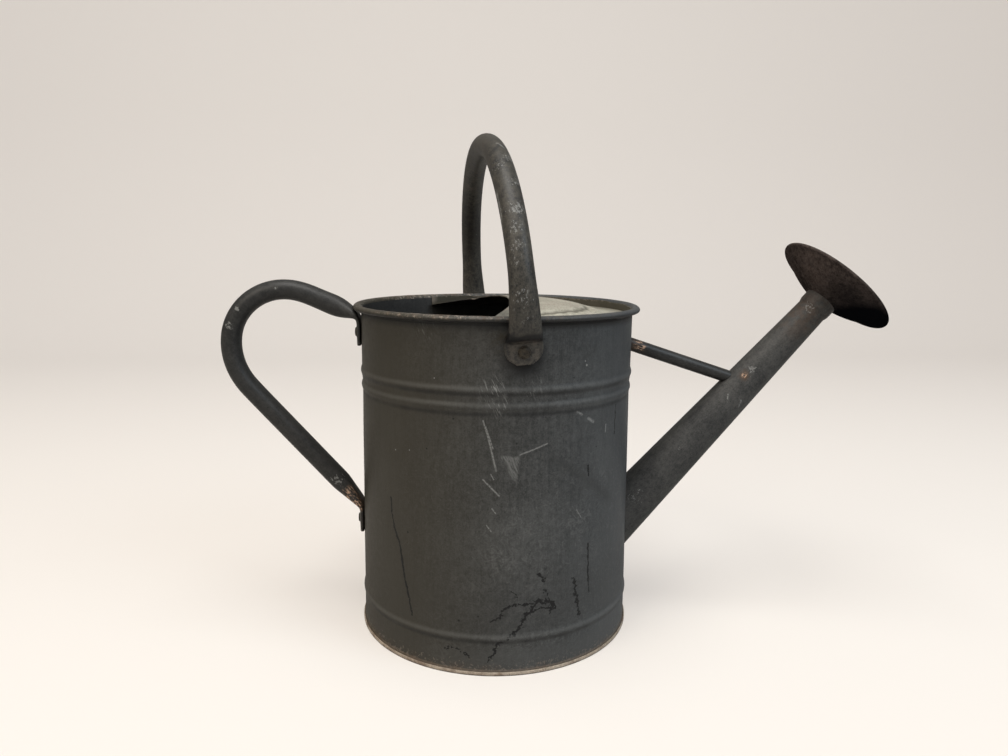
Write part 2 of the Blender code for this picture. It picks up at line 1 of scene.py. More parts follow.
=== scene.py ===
"""Looks of the weathered watering can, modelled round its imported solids.

All lengths are metres in the can's own frame: +X points to the spout, -X to
the rear handle, -Y to the viewer and +Z up. The underside of the bottom disc
is at zero and the foot seam stands lower, at FLOOR.
"""
import json
import math

import bpy
from mathutils import Matrix, Vector

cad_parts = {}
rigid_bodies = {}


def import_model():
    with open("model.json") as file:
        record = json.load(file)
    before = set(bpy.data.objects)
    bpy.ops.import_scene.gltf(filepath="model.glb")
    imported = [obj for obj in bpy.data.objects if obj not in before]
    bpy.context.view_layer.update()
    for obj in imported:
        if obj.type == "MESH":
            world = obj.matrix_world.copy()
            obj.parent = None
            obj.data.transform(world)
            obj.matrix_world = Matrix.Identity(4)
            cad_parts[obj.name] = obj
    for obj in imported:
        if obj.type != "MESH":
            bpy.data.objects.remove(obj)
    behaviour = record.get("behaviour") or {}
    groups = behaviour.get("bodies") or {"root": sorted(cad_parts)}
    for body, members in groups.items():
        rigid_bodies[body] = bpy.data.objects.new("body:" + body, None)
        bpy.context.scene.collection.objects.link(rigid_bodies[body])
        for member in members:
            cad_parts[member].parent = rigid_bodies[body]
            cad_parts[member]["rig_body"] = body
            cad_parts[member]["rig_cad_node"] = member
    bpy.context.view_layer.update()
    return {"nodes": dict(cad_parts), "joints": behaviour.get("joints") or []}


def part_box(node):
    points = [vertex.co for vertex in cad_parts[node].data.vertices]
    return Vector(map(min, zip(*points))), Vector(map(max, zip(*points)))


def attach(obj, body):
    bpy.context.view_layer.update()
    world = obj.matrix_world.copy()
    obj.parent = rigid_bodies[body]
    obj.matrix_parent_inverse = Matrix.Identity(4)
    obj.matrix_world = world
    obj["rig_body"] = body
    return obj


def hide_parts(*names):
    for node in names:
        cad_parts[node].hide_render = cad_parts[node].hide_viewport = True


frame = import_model()

bl_info = {
    "name": "Weathered watering can",
    "version": (1, 0, 0),
    "blender": (4, 5, 0),
    "location": "View3D > Sidebar > Watering can",
    "description": "Builds a weathered watering can piece by piece, and a plain stage for it",
    "category": "Object",
}

# What the solids give
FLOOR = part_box("can_base")[0].z
RIM_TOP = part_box("can_wall")[1].z
SWING = frame["joints"][0]
PIVOT_HEIGHT = SWING["pos_m"][2]
PIVOT_TURN = math.atan2(-SWING["axis"][0], SWING["axis"][1])

# Body and slot names
CAN = "can"
SWINGING = "carrying_handle"

# Detail of turned pieces
WALL_STEPS = 144
TUBE_STEPS = 64
RIVET_STEPS = 36
MERGE = 1e-6
CRISP_ANGLE = math.radians(38)

# Can wall
SHEET = 0.0007
CLEARANCE = 0.0003
ROLL_RADIUS = 0.00275
ROLL_TURN = 300
ROLL_POINTS = 20
RIM_PRESS = 0.32
RIM_STAY = RIM_TOP - 0.0034
PRESS_REACH = 0.12
BEAD_WIDTH = 0.0085
BEAD_POINTS = 10
# Offset of the painted highlight above each bead, and width of the painted highlight and shade bands.
BEAD_SHINE = 0.0012
PAINTED_BEAD_BAND = 0.0024
WALL_ROW = 0.0075

# Spout
SPOUT_FOOT_HEIGHT = 0.0714
SPOUT_FOOT_OUT = 0.09868
SPOUT_TILT = math.radians(90 - 47.6)
SPOUT_LENGTH = 0.2215
SPOUT_BASE_RADIUS = 0.0182
SPOUT_TIP_RADIUS = 0.011
SPOUT_INSIDE = 0.03
SPOUT_ROWS = 14

# Rose
ROSE_RADIUS = 0.047
ROSE_DEPTH = 0.0166
ROSE_LAP = 0.008
ROSE_FLANGE = 0.004
ROSE_BULGE = 0.25
ROSE_LIP = 0.0034
FACE_DOME = 0.003
HOLE_PITCH = 0.0096
HOLE_RINGS = 4
HOLE_STEPS = 14
DRILL_LENGTH = 0.006
BURR_REACH = 1.22
BURR_SIZE = 0.22
BELL_ROWS = 14
FACE_ROWS = 14

# Rivets
TAB_THICKNESS = 0.0024

# Foot seam
FOOT_BEND = 0.0014
FOOT_FOLD = 0.0006
FOOT_LAP = 0.0026

# Half cover
PLATE_DROP = 0.0067
PLATE_HEIGHT = RIM_TOP - PLATE_DROP
FLANGE_RADIUS = 0.0971
FLANGE_DROP = 0.0012
FLANGE_WEAR = 0.0005
FLANGE_PRESS = 0.0012
MOUTH_TURN = math.radians(118.6)
MOUTH_CORNER = 0.004
FAR_MOUTH_POWER = 2.6
NEAR_MOUTH_POWER = 3.4
CREST_X = 0.008
TIER_RISE = 0.003
TIER_INNER = 0.07
TIER_OUTER = 0.08
LEFT_TIER_INNER = 0.062
LEFT_START = 0.01
LEFT_REACH = 0.03
VAULT_RISE = 0.0072
VAULT_REACH = 0.06
VAULT_HALF_WIDTH = 0.056
VAULT_POWER = 0.65
HOOD_LEAN = 0.04
CORNER_SAG = 0.0015
CREASE_DEPTH = 0.0009
COVER_CREASES = [
    (0.0034, [(0.015, -0.0505), (0.0259, -0.0478), (0.0334, -0.0439), (0.0416, -0.0389), (0.0517, -0.0317),
              (0.0576, -0.0238), (0.0639, -0.012), (0.0655, -0.0005)]),
    (0.0018, [(0.065, -0.009), (0.0672, -0.017), (0.0689, -0.0228)]),
]
COVER_ROWS = 56
COVER_COLUMNS = 150

# Brace
BRACE_RADIUS = 0.0049
BRACE_WALL = 0.0009
BRACE_DROP = 0.03
BRACE_SLOPE = math.radians(18.2)
BRACE_FOOT_OUT = 0.0981
BRACE_BLANK = 0.11


# Settings

def colour_value(name, words, value):
    return bpy.props.FloatVectorProperty(name=name, description=words, default=value, subtype="COLOR", size=3)


def length_value(name, words, value):
    return bpy.props.FloatProperty(name=name, description=words, default=value, unit="LENGTH")


def level_value(name, words, value):
    return bpy.props.FloatProperty(name=name, description=words, default=value)


class CanSizes(bpy.types.PropertyGroup):
    bead_rise: length_value("Bead rise", "How far the rolled beads stand out of the wall", 0.0009)
    dent_depth: length_value("Dent depth", "Depth of the shallow dents all over the sheet", 0.0005)
    solder_size: length_value("Solder size", "Thickness of the solder line at the spout's foot", 0.0006)
    hole_radius: length_value("Rose hole radius", "Radius of each hole in the rose's face", 0.001)


class CanColours(bpy.types.PropertyGroup):
    paint_light: colour_value("Paint, light", "Lighter patches of the weathered paint", (0.086, 0.088, 0.087))
    # The darker paint is also laid over the cover's far part as painted shadow of the rim.
    paint_dark_and_shade: colour_value("Paint, dark", "Darker patches of the weathered paint", (0.032, 0.033, 0.033))
    # Brown film; on the wall it also paints the warm tint of the light from the left.
    grime_and_warm_tint: colour_value("Grime", "Brown film on the side of the rear handle", (0.042, 0.036, 0.0235))
    # Dark runs and stains; the same colour also paints shade under the rim, the beads and the tab, in the
    # handle's bends and on the rose's shaded side.
    drips_and_shade: colour_value("Drips", "Dark runs and stains", (0.004, 0.004, 0.005))
    # Painted light: bluish tint of the cool light on the spout's side of the wall.
    cool_light_tint: colour_value("Cool film", "Bluish film on the spout's side of the wall", (0.066, 0.074, 0.082))
    # Pale scratches and specks; the same colour also paints highlights on the beads and along the carrying
    # handle's front leg.
    scratches_and_highlights: colour_value("Scratches", "Pale scratches and specks", (0.3, 0.3, 0.29))
    rust: colour_value("Rust", "Rust at folds and edges", (0.115, 0.058, 0.028))
    # Worn metal; on the rolled rim it is kept mostly to the top, which also paints a highlight there.
    bare: colour_value("Bare metal", "Worn metal at the rim, foot and beads", (0.28, 0.235, 0.195))
    worn_edge: colour_value("Worn foot, light", "Rubbed edge that the can stands on", (0.62, 0.53, 0.43))
    worn_dip: colour_value("Worn foot, dark", "Darker places of the rubbed edge", (0.3, 0.235, 0.18))
    # The cover's colours are pale partly because they paint the light from above that its upward face catches.
    cover_light: colour_value("Cover, light", "Lighter patches of the half cover", (0.56, 0.53, 0.445))
    cover_dark: colour_value("Cover, dark", "Darker patches of the half cover", (0.27, 0.255, 0.205))
    # Olive that paints the shade on the cover's flange, far margin and creases.
    olive: colour_value("Dull olive", "Shaded, dirty flange of the half cover", (0.058, 0.052, 0.037))
    spout_light: colour_value("Spout, light", "Lighter patches of the spout", (0.086, 0.084, 0.08))
    spout_dark: colour_value("Spout, dark", "Darker patches of the spout", (0.036, 0.036, 0.036))
    brown_light: colour_value("Brown, light", "Pale edge of the rivets", (0.08, 0.066, 0.049))
    # Also paints the shade along the foot's lower edge.
    brown_dark: colour_value("Brown, dark", "Tarnish of the rivets", (0.022, 0.018, 0.015))
    tarnish_light: colour_value("Tarnish, light", "Lighter patches of the rose", (0.11, 0.088, 0.08))
    tarnish_dark: colour_value("Tarnish, dark", "Darker patches of the rose", (0.02, 0.016, 0.015))
    handle_light: colour_value("Handle, light", "Lighter patches of the handles", (0.046, 0.045, 0.043))
    handle_dark: colour_value("Handle, dark", "Darker patches of the handles", (0.022, 0.022, 0.022))
    worn_handle: colour_value(
        "Worn handle", "Lighter, browner patches of the carrying handle", (0.09, 0.082, 0.068))
    copper: colour_value("Bright scrapes", "Fresh pinkish scrapes", (0.52, 0.34, 0.235))


class StageSettings(bpy.types.PropertyGroup):
    floor_colour: colour_value("Floor", "Colour of floor and backdrop", (0.5, 0.48, 0.455))
    backdrop_colour: colour_value(
        "Backdrop", "Colour that floor and backdrop show to the camera", (0.74, 0.68, 0.63))
    backdrop_level: level_value("Backdrop level", "How strongly the camera sees that colour", 0.6)
    warm_power: level_value("Warm light", "Power of the soft light on the left, in watts", 9.5)
    cool_power: level_value("Cool light", "Power of the soft light on the right, in watts", 11.5)
    top_power: level_value("Top light", "Power of the soft light above, in watts", 18.0)
    world_level: level_value("World level", "Brightness of the surroundings on the object", 0.33)


# Node helpers

def fill(sockets, tree, inputs):
    """Join sockets to the node sockets given for them, or set them to the values given."""
    for key, value in inputs.items():
        if isinstance(value, bpy.types.NodeSocket):
            tree.links.new(value, sockets[key])
        else:
            sockets[key].default_value = value


def node(tree, kind, inputs=None, **settings):
    """Add a node, set it, and fill or join its inputs."""
    made = tree.nodes.new(kind)
    for name, value in settings.items():
        setattr(made, name, value)
    fill(made.inputs, tree, inputs or {})
    return made


def maths(tree, operation, *values, clamp=False):
    made = node(tree, "ShaderNodeMath", dict(enumerate(values)), operation=operation)
    made.use_clamp = clamp
    return made.outputs[0]


def vector_maths(tree, operation, *values):
    return node(tree, "ShaderNodeVectorMath", dict(enumerate(values)), operation=operation)


def rgba(colour):
    return (*colour, 1.0)


def blend(tree, share, first, second):
    """Colour between two, by a share from 0 to 1."""
    made = node(tree, "ShaderNodeMix", {0: share, 6: first, 7: second}, data_type="RGBA")
    return made.outputs[2]


def ramp(tree, value, low, high, start=0.0, end=1.0):
    """Ease a value between two limits."""
    made = node(
        tree, "ShaderNodeMapRange",
        {"Value": value, "From Min": low, "From Max": high, "To Min": start, "To Max": end},
        interpolation_type="SMOOTHSTEP")
    return made.outputs[0]


def noise(tree, place, scale, detail=3.0, roughness=0.55, distortion=0.0):
    made = node(tree, "ShaderNodeTexNoise", {
        "Vector": place, "Scale": scale, "Detail": detail,
        "Roughness": roughness, "Distortion": distortion})
    return made.outputs[0]


def times(tree, *factors):
    """Product of masks and numbers."""
    result = factors[0]
    for factor in factors[1:]:
        result = maths(tree, "MULTIPLY", result, factor)
    return result


def tint(tree, colour, over, *shares):
    """Lay a plain colour over another, as far as the product of the shares says."""
    return blend(tree, times(tree, *shares), colour, rgba(over))


def strongest(tree, masks):
    """Highest of several masks at each place."""
    result = masks[0]
    for mask in masks[1:]:
        result = maths(tree, "MAXIMUM", result, mask)
    return result


def new_group(name, inputs, outputs):
    """Empty shader node group with named sockets."""
    group = bpy.data.node_groups.new(name, "ShaderNodeTree")
    for label, kind, default in inputs:
        socket = group.interface.new_socket(name=label, in_out="INPUT", socket_type=kind)
        if default is not None:
            socket.default_value = default
    for label, kind in outputs:
        group.interface.new_socket(name=label, in_out="OUTPUT", socket_type=kind)
    return group, group.nodes.new("NodeGroupInput").outputs, group.nodes.new("NodeGroupOutput").inputs


def use(tree, name, inputs):
    """Place a shared group in a material."""
    made = tree.nodes.new("ShaderNodeGroup")
    made.node_tree = bpy.data.node_groups[name]
    fill(made.inputs, tree, inputs)
    return made.outputs


FLOAT = "NodeSocketFloat"
VECTOR = "NodeSocketVector"
COLOUR = "NodeSocketColor"


def make_film_group():
    """Thin weathered paint: broad patches, fine streaks and a fine grain."""
    group, given, out = new_group(
        "Weathered film",
        [("Place", VECTOR, None), ("Streak place", VECTOR, None), ("Light", COLOUR, None),
         ("Dark", COLOUR, None), ("Patch scale", FLOAT, 26.0), ("Streaks", FLOAT, 0.5),
         ("Gloss", FLOAT, 0.55)],
        [("Colour", COLOUR), ("Roughness", FLOAT), ("Height", FLOAT)])
    patches = noise(group, given["Place"], given["Patch scale"], 5.0, 0.62, 0.4)
    mottle = noise(group, given["Place"], 300.0, 4.0, 0.7)
    grain = noise(group, given["Place"], 1000.0, 2.0, 0.6)
    pits = ramp(group, noise(group, given["Place"], 620.0, 2.0, 0.5), 0.34, 0.27)
    streaks = noise(group, given["Streak place"], 330.0, 4.0, 0.65)
    hairs = noise(group, given["Streak place"], 950.0, 2.0, 0.6)
    broad = maths(group, "MULTIPLY_ADD", patches, 1.5, -0.25)
    fine = maths(group, "MULTIPLY_ADD", maths(group, "SUBTRACT", mottle, 0.5), 1.9, broad)
    brushed = times(group, maths(group, "SUBTRACT", streaks, 0.5), given["Streaks"])
    thin = times(group, maths(group, "SUBTRACT", hairs, 0.5), given["Streaks"])
    wide = maths(group, "MULTIPLY_ADD", brushed, 2.4, fine)
    total = maths(group, "MULTIPLY_ADD", thin, 1.6, wide)
    specked = maths(group, "MULTIPLY_ADD", pits, -0.55, total)
    share = maths(group, "MULTIPLY_ADD", maths(group, "SUBTRACT", grain, 0.5), 1.3, specked, clamp=True)
    group.links.new(blend(group, share, given["Dark"], given["Light"]), out["Colour"])
    uneven = maths(group, "SUBTRACT", mottle, 0.5)
    rough = maths(group, "MULTIPLY_ADD", uneven, 0.35, given["Gloss"], clamp=True)
    group.links.new(rough, out["Roughness"])
    height = maths(group, "MULTIPLY_ADD", grain, 0.35, times(group, mottle, 0.65))
    group.links.new(height, out["Height"])


def make_stroke_group():
    """A straight mark between two places."""
    group, given, out = new_group(
        "Stroke",
        [("Place", VECTOR, None), ("From", VECTOR, None), ("To", VECTOR, None), ("Width", FLOAT, 0.001)],
        [("Mask", FLOAT)])
    reach = vector_maths(group, "SUBTRACT", given["Place"], given["From"]).outputs[0]
    run = vector_maths(group, "SUBTRACT", given["To"], given["From"]).outputs[0]
    along = vector_maths(group, "DOT_PRODUCT", reach, run).outputs[1]
    length = vector_maths(group, "DOT_PRODUCT", run, run).outputs[1]
    share = maths(group, "DIVIDE", along, length, clamp=True)
    nearest = node(group, "ShaderNodeVectorMath", {0: run, 3: share}, operation="SCALE").outputs[0]
    distance = vector_maths(group, "DISTANCE", reach, nearest).outputs[1]
    group.links.new(ramp(group, distance, given["Width"], 0.0), out["Mask"])


def make_side_group():
    """One side of a line through two places, with a soft edge."""
    group, given, out = new_group(
        "Side of line",
        [("Place", VECTOR, None), ("From", VECTOR, None), ("Across", VECTOR, None), ("Softness", FLOAT, 0.001)],
        [("Mask", FLOAT)])
    reach = vector_maths(group, "SUBTRACT", given["Place"], given["From"]).outputs[0]
    depth = vector_maths(group, "DOT_PRODUCT", reach, given["Across"]).outputs[1]
    group.links.new(ramp(group, depth, 0.0, given["Softness"]), out["Mask"])


def make_spot_group():
    """Round area that fades out."""
    group, given, out = new_group(
        "Spot",
        [("Place", VECTOR, None), ("Centre", VECTOR, None), ("Radius", FLOAT, 0.01)],
        [("Mask", FLOAT)])
    distance = vector_maths(group, "DISTANCE", given["Place"], given["Centre"]).outputs[1]
    group.links.new(ramp(group, distance, given["Radius"], 0.0), out["Mask"])


def make_ring_group():
    """Round band about a centre."""
    group, given, out = new_group(
        "Ring",
        [("Place", VECTOR, None), ("Centre", VECTOR, None), ("Radius", FLOAT, 0.005), ("Width", FLOAT, 0.001)],
        [("Mask", FLOAT)])
    distance = vector_maths(group, "DISTANCE", given["Place"], given["Centre"]).outputs[1]
    off = maths(group, "ABSOLUTE", maths(group, "SUBTRACT", distance, given["Radius"]))
    group.links.new(ramp(group, off, given["Width"], 0.0), out["Mask"])


def make_chip_group():
    """Broken flakes whose number grows with the amount."""
    group, given, out = new_group(
        "Chips",
        [("Place", VECTOR, None), ("Scale", FLOAT, 700.0), ("Amount", FLOAT, 0.3)],
        [("Mask", FLOAT)])
    flakes = noise(group, given["Place"], given["Scale"], 4.0, 0.7, 0.3)
    level = maths(group, "MULTIPLY_ADD", given["Amount"], -0.34, 0.78)
    top = maths(group, "ADD", level, 0.035)
    group.links.new(ramp(group, flakes, level, top), out["Mask"])


def make_groups():
    make_film_group()
    make_stroke_group()
    make_side_group()
    make_spot_group()
    make_ring_group()
    make_chip_group()


# Materials

def new_material(name):
    material = bpy.data.materials.new(name)
    material.use_nodes = True
    tree = material.node_tree
    return material, tree, tree.nodes["Principled BSDF"]


def object_place(tree):
    return node(tree, "ShaderNodeTexCoord").outputs["Object"]


def drawn_out(tree, place, turn, stretch):
    """The same place with a pattern drawn out along a turned upright axis."""
    made = node(
        tree, "ShaderNodeMapping",
        {"Vector": place, "Rotation": turn, "Scale": (1.0, 1.0, stretch)}, vector_type="TEXTURE")
    return made.outputs[0]


def wall_place(tree):
    """Place in space and unrolled from the front, the place across, height, and distance from the axis."""
    place = node(tree, "ShaderNodeTexCoord").outputs["Object"]
    parts = node(tree, "ShaderNodeSeparateXYZ", {0: place}).outputs
    angle = maths(tree, "ARCTAN2", parts[0], times(tree, parts[1], -1.0))
    around = times(tree, angle, 0.1)
    radius = maths(tree, "SQRT", maths(
        tree, "ADD", maths(tree, "POWER", parts[0], 2.0), maths(tree, "POWER", parts[1], 2.0)))
    flat = node(tree, "ShaderNodeCombineXYZ", {0: around, 1: parts[2], 2: 0.0}).outputs[0]
    return place, flat, parts[0], parts[2], radius


def wobble(tree, place, size, scale):
    """The same place, shaken a little, so that marks look hand made."""
    shake = node(tree, "ShaderNodeTexNoise", {"Vector": place, "Scale": scale, "Detail": 3.0}).outputs[1]
    centred = vector_maths(tree, "SUBTRACT", shake, (0.5, 0.5, 0.5)).outputs[0]
    offset = node(tree, "ShaderNodeVectorMath", {0: centred, 3: size}, operation="SCALE").outputs[0]
    return vector_maths(tree, "ADD", place, offset).outputs[0]


def chip_mask(tree, place, scale, amount):
    return use(tree, "Chips", {"Place": place, "Scale": scale, "Amount": amount})["Mask"]


def spot_mask(tree, place, spots):
    """Strongest of (centre, radius, strength) spots."""
    masks = []
    for centre, size, strength in spots:
        mask = use(tree, "Spot", {"Place": place, "Centre": centre, "Radius": size})["Mask"]
        masks.append(maths(tree, "MULTIPLY", mask, strength, clamp=True))
    return strongest(tree, masks)


def strokes(tree, place, lines):
    """Masks for broken lines of (width, places)."""
    masks = []
    for width, corners in lines:
        for start, end in zip(corners, corners[1:]):
            mask = use(tree, "Stroke", {
                "Place": place, "From": Vector(start).to_3d(), "To": Vector(end).to_3d(), "Width": width})
            masks.append(mask["Mask"])
    return strongest(tree, masks)


def finish_shader(tree, shader, colour, roughness, height, distance=0.00012, strength=0.6):
    tree.links.new(colour, shader.inputs["Base Color"])
    tree.links.new(roughness, shader.inputs["Roughness"])
    bump = node(tree, "ShaderNodeBump", {"Height": height, "Distance": distance, "Strength": strength})
    tree.links.new(bump.outputs[0], shader.inputs["Normal"])


# Marks on the wall, in metres round from the front and up: (width, places), (radius, centre) or
# (centre, radius, strength)
PALE_SCRATCHES = [
    (0.0008, [(-0.0176, 0.1677), (-0.014, 0.156)]),
    (0.001, [(-0.014, 0.156), (-0.0091, 0.1358)]),
    (0.0007, [(-0.016, 0.164), (-0.0112, 0.15)]),
    (0.0009, [(-0.0174, 0.1298), (-0.0071, 0.1195)]),
    (0.0006, [(-0.0125, 0.1335), (-0.0105, 0.13)]),
    (0.0007, [(-0.0115, 0.111), (-0.0092, 0.108)]),
    (0.0008, [(0.0062, 0.1458), (0.0246, 0.152)]),
    (0.0005, [(0.048, 0.105), (0.052, 0.099)]),
    (0.0013, [(0.0468, 0.1706), (0.0506, 0.1684)]),
    (0.0017, [(0.0566, 0.165), (0.0612, 0.1624)]),
    (0.001, [(0.0752, 0.1582), (0.0748, 0.1535)]),
    (0.0006, [(-0.015, 0.1), (-0.012, 0.096)]),
]
PALE_SPECKS = [
    (0.0013, (0.0533, 0.2003)), (0.0007, (-0.05, 0.193)), (0.0007, (-0.07, 0.144)),
    (0.0008, (0.052, 0.203)), (0.0008, (-0.083, 0.142)),
]
DARK_RUNS = [
    (0.0011, [(-0.0883, 0.1084), (-0.0875, 0.0985), (-0.0853, 0.0882)]),
    (0.0016, [(-0.0853, 0.0882), (-0.08, 0.079), (-0.0773, 0.0672), (-0.0756, 0.0575)]),
    (0.0012, [(-0.0756, 0.0575), (-0.071, 0.042), (-0.0684, 0.0306)]),
    (0.0013, [(0.0589, 0.079), (0.0592, 0.068), (0.0597, 0.0533)]),
    (0.0008, [(0.0597, 0.0533), (0.061, 0.044)]),
    (0.0014, [(0.0572, 0.133), (0.058, 0.127)]),
    (0.0009, [(0.088, 0.17), (0.087, 0.15)]),
]
DARK_BRANCHES = [
    (0.002, [(0.0205, 0.065), (0.024, 0.06)]),
    (0.0019, [(0.0245, 0.0545), (0.0265, 0.048), (0.0305, 0.0427), (0.0284, 0.0382)]),
    (0.002, [(0.0305, 0.045), (0.0197, 0.047), (0.012, 0.0385), (0.0076, 0.0305), (0.0028, 0.0255)]),
    (0.0015, [(0.0028, 0.0255), (-0.0068, 0.0186), (-0.01, 0.012), (-0.0133, 0.007)]),
    (0.0014, [(0.0197, 0.0475), (0.0074, 0.0457), (-0.0025, 0.044), (-0.0057, 0.0374), (-0.0122, 0.0347)]),
    (0.0014, [(0.033, 0.041), (0.023, 0.042), (0.015, 0.0395)]),
    (0.0021, [(0.0468, 0.0585), (0.0488, 0.0456), (0.0518, 0.0306)]),
    (0.0013, [(-0.043, 0.013), (-0.032, 0.015), (-0.026, 0.009)]),
    (0.0014, [(0.002, 0.056), (0.006, 0.051)]),
]
DARK_DOTS = [
    (0.0011, (-0.037, 0.168)), (0.001, (0.004, 0.153)), (0.0009, (-0.056, 0.147)),
    (0.0012, (-0.072, 0.088)), (0.0013, (-0.033, 0.034)), (0.001, (-0.02, 0.038)),
    (0.0009, (0.065, 0.145)), (0.0009, (0.043, 0.193)),
]
SMUDGE = [
    (0.006, [(0.0277, 0.1413), (0.0454, 0.1311), (0.0641, 0.1189), (0.0786, 0.1072)]),
]
SCUFF_CORNERS = [(-0.0086, 0.1458), (0.0052, 0.1235), (0.0066, 0.1462)]
DARK_PATCHES = [
    ((-0.064, 0.16, 0.0), 0.012, 0.6), ((-0.048, 0.185, 0.0), 0.026, 0.45),
    ((0.056, 0.208, 0.0), 0.012, 0.5), ((0.005, 0.176, 0.0), 0.016, 0.4),
    ((0.05, 0.125, 0.0), 0.022, 0.35), ((-0.07, 0.05, 0.0), 0.02, 0.35),
]
PALE_PATCHES = [
    ((-0.006, 0.077, 0.0), 0.024, 0.55), ((-0.0255, 0.056, 0.0), 0.026, 0.45),
    ((0.05, 0.098, 0.0), 0.018, 0.5), ((-0.045, 0.008, 0.0), 0.024, 0.75),
    ((0.002, 0.1, 0.0), 0.022, 0.4), ((-0.065, 0.205, 0.0), 0.022, 0.35),
    ((-0.05, 0.035, 0.0), 0.02, 0.35), ((0.018, 0.064, 0.0), 0.02, 0.3),
]
SCUFFED = [
    ((-0.011, 0.187, 0.0), 0.013, 1.0), ((-0.008, 0.177, 0.0), 0.011, 0.9),
    ((0.013, 0.188, 0.0), 0.012, 0.6), ((-0.056, 0.226, 0.0), 0.014, 0.4),
]
STROKE_SLANT = math.radians(26)


def scuff_mask(tree, place):
    """Pale three-cornered scuff."""
    inside = None
    corners = [Vector(corner) for corner in SCUFF_CORNERS]
    for k, corner in enumerate(corners):
        run = (corners[(k + 1) % 3] - corner).normalized()
        side = use(tree, "Side of line", {
            "Place": place, "From": (corner.x, corner.y, 0.0),
            "Across": (-run.y, run.x, 0.0), "Softness": 0.0022})["Mask"]
        inside = side if inside is None else times(tree, inside, side)
    return inside


def wall_line(tree, height):
    """Radius of the plain wall at a height, in the material."""
    lower = node(tree, "ShaderNodeMapRange", {
        "Value": height, "From Min": FLOOR, "From Max": SHOULDER,
        "To Min": BASE_RADIUS, "To Max": WAIST_RADIUS}).outputs[0]
    upper = maths(tree, "GREATER_THAN", height, SHOULDER)
    return maths(tree, "MULTIPLY_ADD", upper, TOP_RADIUS - WAIST_RADIUS, lower)


